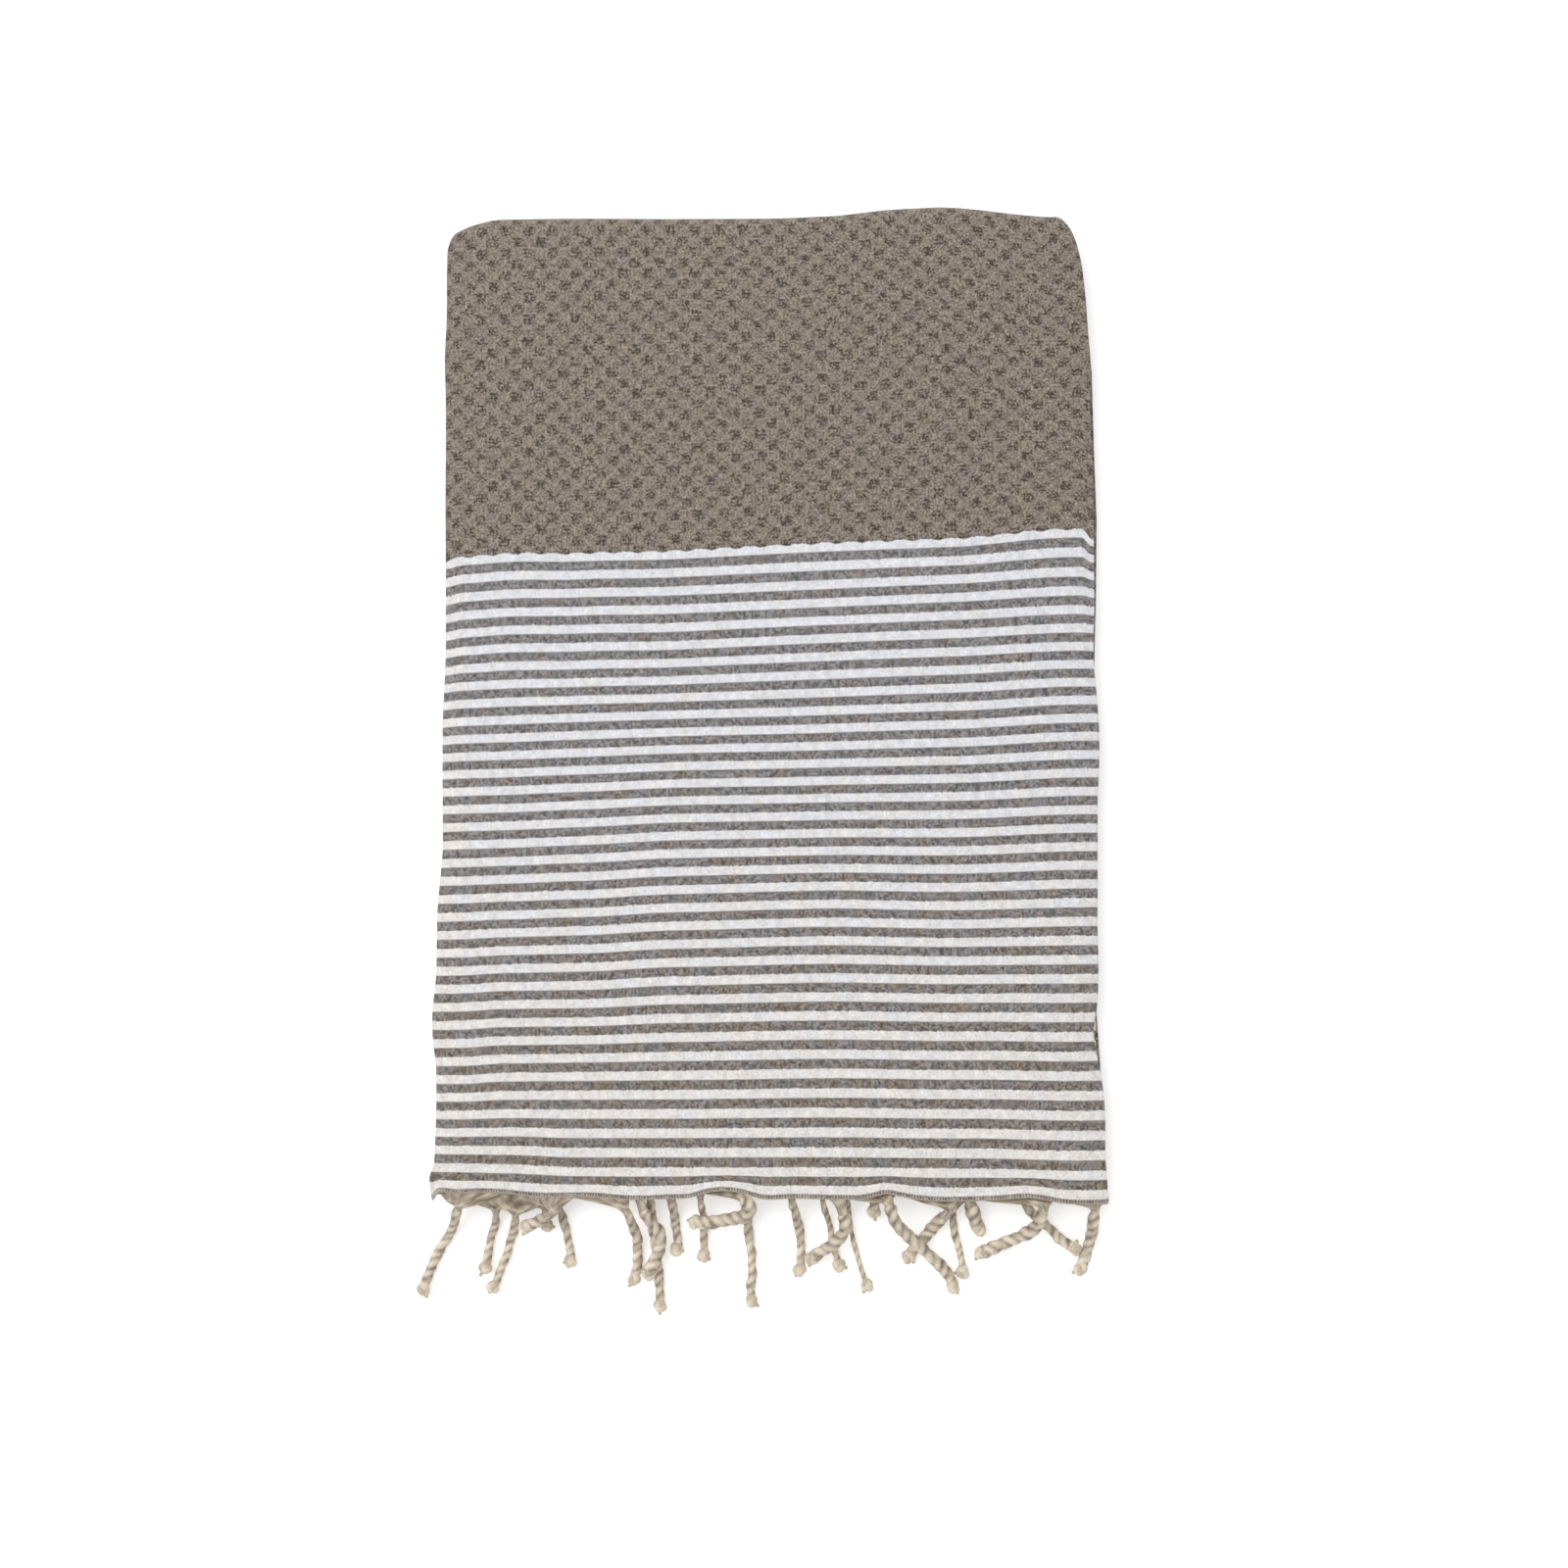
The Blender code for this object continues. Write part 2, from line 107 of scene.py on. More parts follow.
DRESSED_EDGE = (
    # across, out, lift: the hem itself, in finer steps
    (-164, -0.5, 0), (-157, -1.6, 0), (-150, -1, 0), (-139, -1.5, 0),
    (-126, -1, 0), (-112, 0.4, 0), (-80, 0.6, 0), (-66, 1.8, 0),
    (-46, 1.4, 0), (-33, 0.6, 0), (-25, -1.8, 1.5), (-16, -2.8, 3),
    (-8, -1.6, 2.4), (1, 1.2, 0), (16, 1, 0), (38, 1.4, 0),
    (50, 1.2, 0.3), (56, -0.2, 1.8), (61, -1.6, 2.8), (67, -0.4, 1.8),
    (74, 1.1, 0.2), (104, 1.9, 0), (118, 1, 1), (127, 0.2, 2),
    (135, 1.2, 1), (144, 3, 0), (154, 3.5, 0), (164, 3.5, 0),
)
SIDE_TRIM = (
    # along, then how far right of the solid's the dressed cloth's left and right sides stand
    (-226, -1.5, 0.3), (-206, -0.4, -0.4), (-192, 0.1, 0.3), (-177, 0.9, 0.6),
    (-163, 1.4, -0.6), (-148, 0, -1.9), (-137, -0.4, -0.1), (-118, 0.5, 0.3),
    (-100, -0.3, -0.6), (-84, -0.7, -0.7), (-56, 0.5, -0.9), (-40, 0, -1),
    (-20, -0.3, -0.1), (0, -0.3, 0), (12, -0.3, -0.6), (31, 0, -1.8),
    (45, 0, -1.4), (60, -0.4, -0.2), (110, -0.3, 0.5), (135, -0.1, 0.2),
    (160, 0.3, -0.3), (180, 0.3, 0.6), (200, -0.3, 0.5), (221, 0.3, 0.6),
    (243, -0.1, 0.1), (279, -0.4, 0),
)
BACK_EDGE = (
    # across, how far back of the solid's the dressed cloth's back edge stands
    (-165, 0), (-140, -0.1), (-119, -0.8), (-87, -1), (-55, -0.8),
    (-13, -0.3), (28, -0.8), (48, -1.2), (58, -0.7), (70, -0.1),
    (89, -0.3), (109, -0.4), (129, -0.2), (149, -1), (154, -1.6),
    (158.5, -1.6), (161, -1), (164, 0.5), (167, 1),
)
LEFT_CORNER, RIGHT_CORNER = (28.6, 18.0), (9.4, 35.0)  # reach across and along
LEFT_DROOP, RIGHT_DROOP = (1.3, 10.0), (2.2, 13.0)  # at the sides: depth at the top, and width

# How the weave runs over the top layer: out of true towards the fringe, and more at the sides
DRIFT_ACROSS = (-150, -126, -88, -40, 30, 103, 154)
WEAVE_DRIFT = (
    # along, then how far the weave lies towards the fringe at each of those places across
    (-212, 0, 0.5, 2, 2, 2, 2.5, 3.5),
    (-175, 2, 1, 1, 1, 0.5, 1.5, 2.5),
    (-130, 2.5, 1.5, 1.5, 0, -0.5, 1, 1.5),
    (-85, 2.5, 2, 1.5, 0, -0.5, 1.5, 1),
    (-41, 2, 2, 1.5, 0.5, 1, 2, 1),
    (4, 2, 2, 2, 2, 2.5, 2.5, 1),
    (49, 1, 0.5, 1.5, 2.5, 2, 2, 1),
    (72, 0, -0.5, 0.5, 1.5, 1.5, 1.5, 0),
    (94, -1.5, -2, -0.5, 0.5, 0, 0.5, -2),
    (160, 0, 0, 0, 0, 0, 0, 0),
)
SIDE_SAG = (
    # along, sag at the free edge, sag at the right fold
    (-20, 0, 0), (20, 0.5, 0), (50, 1, 0.4), (78, 1.2, 2.2),
    (92, 1.2, 4.3), (110, 0.8, 4.3), (150, 0, 2), (200, 0, 0),
)
LEFT_BEND, RIGHT_BEND = 10.0, 5.0  # widths of the bends there
TOP_DRAWN_IN = (
    # along, how far the two upper layers' folds are drawn in over the lower two
    (-10, 0), (50, 0.8), (75, 1.8), (150, 1.8), (215, 0.8), (262, 0),
)
WEAVE_WAVE_FADE = 12.0  # the stripes run straight past the waves of the upper hem
TAIL_OUT, TAIL_AHEAD = 2.4, 3.4  # the upper hem's free corner curls out, then to the fringe
TAIL_WIDTH, TAIL_LENGTH, TAIL_TIP = 7.0, 9.0, 3.2
TAIL_BULGE, TAIL_SPREAD = 8.0, 6.0  # it curls out most so far from the hem

# ------ the weave, in flat cloth

BAND = 320.8  # the striped band's reach from each end
STRIPE_REPEAT, WHITE_STRIPE = 8.974, 4.4
LAST_WEFT, WARP_ONLY = 1.8, 0.6  # from the end: to the last weft's far side, and open warp
THREADS_ACROSS, THREADS_ALONG = 1.32, 1.22  # repeats of the fine checker of warp and weft
TOOTH = 1.25  # the stripes' fine teeth
BAR_PITCH = 2.0  # the dark bars across a hollow
HEM_DOTS = 1.35  # dark dots of the last weft
CELL_ACROSS, CELL_ALONG = 12.65, 11.6
RELIEF, RIDGE_SHARE = 0.28, 0.35  # the honeycomb's depth, and how much of it stands proud
RELIEF_BEGINS = (BAND - 1, BAND + 6)  # from the end: where it sets in, and where it is whole
PLAIN_SELVEDGE = (0.5, 4.0)  # the same, from the free edge
HOLLOW_HALF_ACROSS = (1.6, 4.2)  # from its middle: where a hollow starts to rise, and its rim
HOLLOW_HALF_ALONG = (0.8, 3.4)

# ------ the fringe

STRIP_GAP, STRIP_WIDTH, KNOT_LENGTH = 0.3, 3.5, 8.0
TOP, MIDDLE, BOTTOM = 1, 0, -1
UPPER_TASSELS = (
    # ply, root across, length, radius, fall, rest, headings, then the warp that runs into it:
    # its reach to the left and the right, how far down the twist starts, and its slack
    (TOP, -147, 57.5, 2.6, 26, 0, (-24, -29, -33, -24, -6), 11, 26, 8, 4.5),
    (MIDDLE, -129, 43, 2.1, 20, 0, (-22, -20, -16, -9, -4), 22, 22, 14, 5.5),
    (TOP, -118, 52, 2.2, 22, 0, (-26, -22, -15, -22, -28), 24, 20, 12, 5.5),
    (TOP, -96, 28, 3.1, 30, 10, (-30, -58, -66, -60), 22, 8, 13, 4),
    (BOTTOM, -109, 24, 2.2, 18, 0, (0, 2, 8), 20, 16, 13, 9),
    (MIDDLE, -104, 39, 2.2, 14, 0, (14, 15, 15, 10, -6), 28, 9, 12, 8),
    (TOP, -68, 44.5, 2.5, 30, 0, (26, 18, -2, -4, -20), 27, 5, 7, 2.6),
    (MIDDLE, -60, 47, 3, 34, 4.8, (14, 22, 46, -18, -28, -22), 8, 6, 8, 1),
    (BOTTOM, -54, 62.4, 2.3, 18, 0, (-10, 0, 10, 4, 4), 6, 6, 8, 1),
    (BOTTOM, -44, 35, 2.4, 20, 0, (-2, 2, 6, -9), 6, 6, 6, 0),
    (MIDDLE, -29, 35, 2, 18, 0, (-1, -2, -4, 10), 6, 6, 5, 0),
    (TOP, -12, 46, 3.4, 30, 9.5, (66, 64, -10, -78, -78, -80, -84, -96, -112), 17, 4, 5, 1.2),
    (BOTTOM, -9, 59, 2.3, 18, 0, (2, 4, 7, 4, -8, 24), 6, 6, 6, 0),
    (MIDDLE, 15, 41.5, 2.4, 20, 0, (6, 8, 8, -4, -12), 6, 6, 5, 0),
    (MIDDLE, 30, 40, 1.7, 18, 0, (4, 8, 15, 18), 6, 6, 5, 0),
    (TOP, 37, 39.5, 3.3, 34, 5, (50, 20, -26, -46, -62, -54, -44), 9, 5, 5, 0),
    (BOTTOM, 42, 52.5, 1.4, 16, 0, (-4, 2, 12, 18, 24), 6, 6, 6, 0),
    (BOTTOM, 55, 16, 2.4, 20, 3, (0, -6), 6, 6, 4, 0),
    (TOP, 62, 59, 3.1, 58, 0, (0, 20, 44, 46, 42, 32, 14), 22, 5, 6, 1.6),
    (MIDDLE, 98, 46, 3.1, 27, 0, (-36, -46, -42, -36), 36, 8, 15, 5.5),
    (BOTTOM, 91, 45.4, 1.9, 12, 0, (-2, 4, 14, 12, -10), 16, 12, 11, 3.5),
    (BOTTOM, 100, 25, 3.5, 20, 2.5, (2, 14, 30), 14, 12, 9, 4),
    (TOP, 135, 47, 3.2, 34, 4.6, (4, -22, -60, -66, -66, -74), 32, 5, 6, 1.8),
    (MIDDLE, 124, 41.5, 2.5, 20, 0, (24, 42, 50, 66), 7, 7, 6, 0),
    (TOP, 160, 38, 2.8, 26, 0, (-14, -10, -8, -24, -26), 17, 3, 6, 1.2),
)
LOWER_NUMBER, LOWER_PITCH = 8, 40.0  # in each ply, across
LOWER_FIRST = ((TOP, -145), (MIDDLE, -132), (BOTTOM, -118))  # ply, its first tassel across
LOWER_LENGTH, LOWER_RADIUS, LOWER_FALL = 37.0, 1.75, 8.0
LOWER_SWAY, LOWER_TURN = 6.0, 2.4  # degrees out of line at most, and the wave's step
LOWER_WARP = (17, 17, 6, 1.0)  # as in the last four columns above
TWIST_PITCH = 10.0  # a full turn of the two plies
SETTLED = 0.95  # a cord's middle lies this share of its radius above what it rests on
TASSEL_REACH = 0.998  # share of the half width that the tassels keep within
CORD_WANDER = (0.08, 0.45, 0.25)  # in thickness, as a share; in twist, in radians; aside
CORD_START = 1.2  # over this length, the start of a cord is drawn in
FAN_STARTS = 25  # places along the cloth's edge that a fan of warp starts from
FAN_INSIDE = 0.7  # how far inside the cloth's edge they are
FAN_THICKNESS = 0.92
FAN_JOINS = 2.0  # how far along the cord the fan ends
FAN_CREASE, FAN_CREST = 0.68, 0.76  # its radius there, in the cord's: between ridges, on them
FAN_LEAVES, FAN_ARRIVES = 2.7, 2.6  # how long its lines hold the edge's and the cord's course
SAG = 27 / 4  # the slope that makes a cubic sag by 1
RIDGE_PITCH, FEWEST_RIDGES = 2.2, 5
# How fans and cords stay down where the hem is lifted over them, for each millimetre of lift
FAN_SUNK, CORD_SUNK = (0.0, 0.8, -0.9), (0.0, 0.0, -0.6)
PLY_PAINTED_SHADE, SUNK_PAINTED_SHADE = 0.2, 0.3  # painted shade on the warp: for each ply down, and under the lifted hem for each millimetre of lift
KNOT_RADIUS, KNOT_SHARE = 3.2, 0.18  # a knot's radius, and its growth with the cord's
KNOT_LOOP, KNOT_YARN = 0.47, 0.54  # the size of its loop and its yarn's radius, in its radii
TIP_HEIGHT = 0.9  # the lowest that a cut end lies
TIP = ((0.3, 1.1), (0.6, 1.0), (0.85, 0.85), (0.97, 0.6), (1.0, 0.2))  # share along, radius
FINE = {"step": 0.8, "around": 24, "fan": (64, 13), "knot": (10, 44)}
PLAIN = {"step": 1.25, "around": 12, "fan": (40, 8), "knot": (8, 30)}

# ------ the studio

# The camera, from the stripes and the outline: place in millimetres, then two directions
CAMERA_PLACE = (101.96, -122.96, 783.17)
CAMERA_UP = (0.02720, 0.99211, 0.12240)
CAMERA_BACK = (0.11248, -0.12470, 0.98579)
LENS, SENSOR = 36.0, 36.0
LIGHT_PLACE = (-900, 700, 2400)
LIGHT_SIZE, LIGHT_POWER, ROOM_LIGHT = 2200.0, 38.0, 0.62
FLOOR_REACH, FLOOR_DROP, FLOOR_GLOW = 3000.0, 0.2, 0.4


# ------ how the towel lies


def smooth_step(start, end, at):
    """0 before start, 1 after end, and between them 3 t^2 - 2 t^3 of the share t."""
    share = np.clip((at - start) / (end - start), 0, 1)
    return share * share * (3.0 - 2.0 * share)


def fade(width, at):
    """1 at 0, and 0 from the width on."""
    return 1 - smooth_step(0, width, at)


def cubic(t, first, leaving, last, arriving):
    """The cubic from first to last, as t goes from 0 to 1, with a slope at each end."""
    return (
        (1 + 2 * t) * (1 - t) ** 2 * first
        + t * (1 - t) ** 2 * leaving
        + t * t * (3 - 2 * t) * last
        + t * t * (t - 1) * arriving
    )


def through(rows, column, at):
    """The smooth line through a table's rows: a cubic from row to row that has the mean slope
    of its neighbours at each row, and is level past the ends."""
    places = np.array([row[0] for row in rows], float)
    values = np.array([row[column] for row in rows], float)
    slopes = np.gradient(values, places)
    at = np.clip(at, places[0], places[-1])
    k = np.clip(np.searchsorted(places, at, side="right") - 1, 0, len(rows) - 2)
    gap = places[k + 1] - places[k]
    t = (at - places[k]) / gap
    return cubic(t, values[k], gap * slopes[k], values[k + 1], gap * slopes[k + 1])


def sides(along):
    """The left and the right side of the towel at a place along it."""
    return through(SIDES, 1, along), through(SIDES, 2, along)


def edge_shift(across, along, height, ply_height, to_side, edge, wave_length):
    """(inward, upward) shift of the cloth near its two ends: a ply starts further in the lower
    it is, and the uppermost follows the edge's waves, which die out away from the edge."""
    steps_down = 1 - ply_height / PLY_PITCH
    staggered = steps_down * smooth_step(0, INSET_FADE, to_side)
    near_upper = fade(EDGE_WAVE_FADE, along - FRONT_HEM)
    near_lower = fade(EDGE_WAVE_FADE, along - LOWER_HEM)
    waved = fade(wave_length, along - FRONT_HEM) * np.clip(1 - steps_down, 0, None)
    out, lift = through(edge, 1, across) * waved, through(edge, 2, across) * waved
    on_top, on_third = height == HEIGHT_TOP, height == HEIGHT_THIRD
    inward = np.where(on_top, PLY_INSET * staggered * near_upper - out, 0.0)
    inward = np.where(on_third, LOWER_PLY_INSET * staggered * near_lower, inward)
    return inward, np.where(on_top, lift, 0.0)


def round_corner(across, along, left, right):
    """Draws a back corner in: of the shares a and b of its rectangle, each shrinks by
    sqrt(1 - other^2 / 2), which turns the outline into a quarter of an oval."""
    side = np.where(across < 0, left, right)
    reach = np.where(across < 0, -LEFT_CORNER[0], RIGHT_CORNER[0])
    depth = np.where(across < 0, LEFT_CORNER[1], RIGHT_CORNER[1])
    a = 1 - (side - across) / reach
    b = 1 - (BACK_REACH - along) / depth
    inside = (a > 0) & (b > 0)
    drawn_a = a * np.sqrt(np.clip(1 - b * b / 2, 0, None))
    drawn_b = b * np.sqrt(np.clip(1 - a * a / 2, 0, None))
    return (
        np.where(inside, side - (1 - drawn_a) * reach, across),
        np.where(inside, BACK_REACH - (1 - drawn_b) * depth, along),
    )


def droop(distance, depth, width):
    """How far the stack rounds down beside a side: depth (1 - distance / width)^2."""
    return depth * np.clip(1 - distance / width, 0, 1) ** 2


def swelled(across, along, up, left, right):
    """The height of a point with the stack's soft swells: none at the underside, all at the
    top. They die out at the two sides, where the stack rounds down."""
    hills = 0.0
    for middle_x, middle_y, half_x, half_y, rise in SWELLS:
        far = ((across - middle_x) / half_x) ** 2 + ((along - middle_y) / half_y) ** 2
        hills = hills + rise * fade(1, far)
    hills = hills * smooth_step(0, SWELL_EDGE, np.minimum(across - left, right - across))
    change = hills - droop(across - left, *LEFT_DROOP) - droop(right - across, *RIGHT_DROOP)
    share_up = np.clip(up - CLOTH_THICKNESS, 0, None) / (STACK_HEIGHT - CLOTH_THICKNESS)
    return up + change * share_up


def weave_drift(share, along, flat):
    """How far the top layer's weave lies towards the fringe at a place: smooth steps across
    between the table's columns, the sag beside each side, and nothing at the hem itself."""
    columns = [through(WEAVE_DRIFT, k + 1, along) for k in range(len(DRIFT_ACROSS))]
    left, right = sides(along)
    across = (left + right) / 2 + share * (right - left) / 2
    drift = columns[0]
    for k in range(1, len(columns)):
        step = smooth_step(DRIFT_ACROSS[k - 1], DRIFT_ACROSS[k], across)
        drift = drift + (columns[k] - columns[k - 1]) * step
    drift = drift + through(SIDE_SAG, 1, along) * fade(LEFT_BEND, across - left)
    drift = drift + through(SIDE_SAG, 2, along) * fade(RIGHT_BEND, right - across)
    return drift * smooth_step(0, WEAVE_WAVE_FADE, flat)


def tail_curl(to_side, from_hem):
    """How far the upper hem's free corner curls out, as exp(-(d / spread)^2) of the distance
    d from where it does so most, and how far its tip points to the fringe."""
    bulge = np.exp(-(((from_hem - TAIL_BULGE) / TAIL_SPREAD) ** 2))
    tip = fade(TAIL_TIP, to_side) * fade(TAIL_LENGTH, from_hem)
    return TAIL_OUT * fade(TAIL_WIDTH, to_side) * bulge, TAIL_AHEAD * tip


def laid(share, bulge, ply_height, along_line, height, normal_along, normal_up, dressed=True):
    """Where points of the folded cloth lie: across, along, up. A point stands off its layer's
    line by its ply's height along the layer's normal, between the sides of the towel there;
    the edge's waves, the round corners, the skewed back and the swells follow. Dressed, the
    sides and the back edge also follow their finer tables, the upper layers are drawn in a
    little at the right, and the upper hem's free corner curls."""
    along = along_line + ply_height * normal_along
    up = height + ply_height * normal_up
    left, right = sides(along)
    if dressed:
        left, right = left + through(SIDE_TRIM, 1, along), right + through(SIDE_TRIM, 2, along)
        drawn_in = smooth_step(HEIGHT_SECOND + 0.5, HEIGHT_THIRD - 0.5, height)
        right = right - through(TOP_DRAWN_IN, 1, along) * drawn_in
    across = (left + right) / 2 + share * (right - left) / 2 + bulge
    to_side = (1 - np.abs(share)) * (right - left) / 2
    edge = (DRESSED_EDGE, WEAVE_WAVE_FADE) if dressed else (UPPER_EDGE, EDGE_WAVE_FADE)
    inward, lift = edge_shift(across, along_line, height, ply_height, to_side, *edge)
    along, up = along + inward, up + lift
    if dressed:
        out, ahead = tail_curl(to_side, along_line - FRONT_HEM)
        free = (height == HEIGHT_TOP) & (ply_height > PLY_PITCH - 0.5) & (share < 0)
        across, along = across - out * free, along - ahead * free
    across, along = round_corner(across, along, left, right)
    back = np.clip((along - SKEW_STARTS) / (BACK_REACH - SKEW_STARTS), 0, 1)
    along = along + back * BACK_SKEW * smooth_step(SKEW_FROM, SKEW_TO, across)
    if dressed:
        along = along + back * through(BACK_EDGE, 1, across)
    along = along - back * RIGHT_DRAW * smooth_step(DRAW_FROM, DRAW_TO, across)
    return across, along, swelled(across, along, up, left, right)


# ------ meshes


def add_object(name, data):
    """A new object, put into the scene."""
    thing = bpy.data.objects.new(name, data)
    bpy.context.scene.collection.objects.link(thing)
    return thing


def make_piece(name, points, faces, corners_uv, material, values=None):
    """A piece from points in millimetres, arrays of faces with one number of corners in each
    array, a flat place for each corner, and named values that the material reads, one for
    each point."""
    mesh = bpy.data.meshes.new(name)
    sizes = np.concatenate([np.full(len(rows), rows.shape[1]) for rows in faces])
    loops = np.concatenate([rows.ravel() for rows in faces])
    mesh.vertices.add(len(points))
    mesh.vertices.foreach_set("co", (points * MM).astype(np.float32).ravel())
    mesh.loops.add(len(loops))
    mesh.loops.foreach_set("vertex_index", loops.astype(np.int32))
    mesh.polygons.add(len(sizes))
    starts = np.concatenate([[0], np.cumsum(sizes)[:-1]])
    mesh.polygons.foreach_set("loop_start", starts.astype(np.int32))
    mesh.polygons.foreach_set("use_smooth", np.full(len(sizes), True))
    weave = mesh.uv_layers.new(name="weave")
    weave.uv.foreach_set("vector", (corners_uv * MM).astype(np.float32).ravel())
    for title, row in (values or {}).items():
        attribute = mesh.attributes.new(title, "FLOAT", "POINT")
        attribute.data.foreach_set("value", row.astype(np.float32))
    mesh.materials.append(material)
    mesh.update(calc_edges=True)
    mesh.validate()
    return add_object(name, mesh)


def grid_faces(rows, columns, wrap_rows=False, wrap_columns=False):
    """The four-cornered faces of a grid, as their corners' rows and their corners' columns."""
    k = np.arange(rows if wrap_rows else rows - 1)
    m = np.arange(columns if wrap_columns else columns - 1)
    k, m = (part.ravel() for part in np.meshgrid(k, m, indexing="ij"))
    return np.stack([k, k + 1, k + 1, k], 1), np.stack([m, m, m + 1, m + 1], 1)


class Bundle:
    """Many tubes that are put into one mesh."""

    def __init__(self):
        self.points, self.crowns, self.count = [], [], 0
        self.quads, self.quad_places = [], []
        self.triangles, self.triangle_places = [], []

    def add(self, rings, around, travel, crown, closed=False):
        """A tube from its rings of points. around and travel are its flat places in
        millimetres, and crown is 1 on the outside of its yarns and 0 in the creases: the finish
        paints shade by it in the creases, and the value also carries other painted light and
        shade."""
        rows, columns = rings.shape[:2]
        start, last = self.count, (rows - 1) * columns
        face_rows, face_columns = grid_faces(rows, columns, closed, True)
        self.quads.append(start + (face_rows % rows) * columns + face_columns % columns)
        travel = np.append(travel, 2 * travel[-1] - travel[-2])
        self.quad_places.append(np.stack([face_columns / columns * around, travel[face_rows]], -1))
        rings = np.maximum(rings, [-np.inf, -np.inf, 0.0])  # none of it goes under the floor
        self.points.append(rings.reshape(-1, 3))
        self.crowns.append(np.broadcast_to(crown, (rows, columns)).ravel())
        self.count += rows * columns
        if not closed:
            m = start + np.arange(columns)
            after = np.roll(m, -1)
            self.cap(m, after, rings[0], around, travel[0])
            self.cap(after + last, m + last, rings[-1], around, travel[rows - 1])

    def cap(self, first, second, ring, around, place):
        """Closes a tube's end: a triangle from each edge of its ring to the ring's middle."""
        number = len(ring)
        self.triangles.append(np.stack([first, second, np.full(number, self.count)], 1))
        m = np.arange(number)
        middle = np.stack([m, m + 1, m + 0.5], 1) / number * around
        self.triangle_places.append(np.stack([middle, np.full((number, 3), place)], -1))
        self.points.append(ring.mean(0, keepdims=True))
        self.crowns.append(np.ones(1))
        self.count += 1

    def piece(self, name, material):
        """The mesh of all tubes so far."""
        faces = [np.concatenate(self.quads), np.concatenate(self.triangles)]
        places = [part.reshape(-1, 2) for part in self.quad_places + self.triangle_places]
        points, places = np.concatenate(self.points), np.concatenate(places)
        values = {"crown": np.concatenate(self.crowns)}
        return make_piece(name, points, faces, places, material, values)


def whole_turn(number):
    """Angles at even steps all the way round."""
    return np.linspace(0, 2 * math.pi, number, endpoint=False)


def unit(vectors):
    """The same directions, each one long."""
    return vectors / np.linalg.norm(vectors, axis=-1, keepdims=True)


def ring_round(ahead, number, up=UPWARD):
    """For each direction ahead, directions square to it at even steps all the way round: from
    the level one towards the upper one."""
    ahead = unit(ahead)
    level = unit(np.cross(ahead, up))[..., None, :]
    upper = np.cross(level, ahead[..., None, :])
    turn = whole_turn(number)[:, None]
    return np.cos(turn) * level + np.sin(turn) * upper


def carried(route, reach, up=UPWARD, closed=False):
    """A section carried along a route, square to it: at each point of the route, a ring of
    points at the distances that reach gives."""
    if closed:
        ahead = np.roll(route, -1, 0) - np.roll(route, 1, 0)
    else:
        ahead = np.gradient(route, axis=0)
    return route[:, None] + reach[:, :, None] * ring_round(ahead, reach.shape[1], up)


# ------ the cloth

TOP_COLUMNS, FOLD_COLUMNS, HIDDEN_COLUMNS = 143, 8, 10
FREE_EDGE = (-1.0, -0.996, -0.992)  # shares of the half width: finer columns at both sides
LEFT_SIDE, RIGHT_SIDE = (-0.986, -0.93, 8), (0.93, 1.0, 12)
MIDDLE_REACH = 0.918
HEM_ROWS = (0, 0.8, 1.6, 2.4, 3.4, 4.6, 6.0, 7.6, 9.4, 11.4, 13.6, 16, 19)  # from the hem
BAND_ROWS, BODY_ROWS = (23, 317, 55), 86


def across_columns():
    """The folded line across the cloth, from its free edge on top: share of the half width,
    bulge past a side fold, height above the middle ply, and the flat distance so far."""
    middle = np.linspace(-MIDDLE_REACH, MIDDLE_REACH, TOP_COLUMNS)
    left, right = np.linspace(*LEFT_SIDE), np.linspace(*RIGHT_SIDE)
    top = np.concatenate([FREE_EDGE, left, middle, right])[:-1]
    turn = np.linspace(math.pi / 2, -math.pi / 2, FOLD_COLUMNS + 1)
    hidden = np.linspace(1, -1, HIDDEN_COLUMNS + 1)
    bulge, rise = FOLD_RADIUS * np.cos(turn), FOLD_RADIUS * np.sin(turn)
    plies = (
        # share, bulge, height: top ply, right fold, middle ply, left fold, bottom ply
        (top, 0 * top, 0 * top + PLY_PITCH),
        (0 * turn + 1, bulge, FOLD_RADIUS + rise),
        (hidden[1:-1], 0 * hidden[1:-1], 0 * hidden[1:-1]),
        (0 * turn - 1, -bulge, rise - FOLD_RADIUS),
        (-hidden[1:], 0 * hidden[1:], 0 * hidden[1:] - PLY_PITCH),
    )
    share, past, height = (np.concatenate(part) for part in zip(*plies))
    steps = np.hypot(np.diff(share * HALF_WIDTH + past), np.diff(height))
    return share, past, height, np.concatenate([[0.0], np.cumsum(steps)])


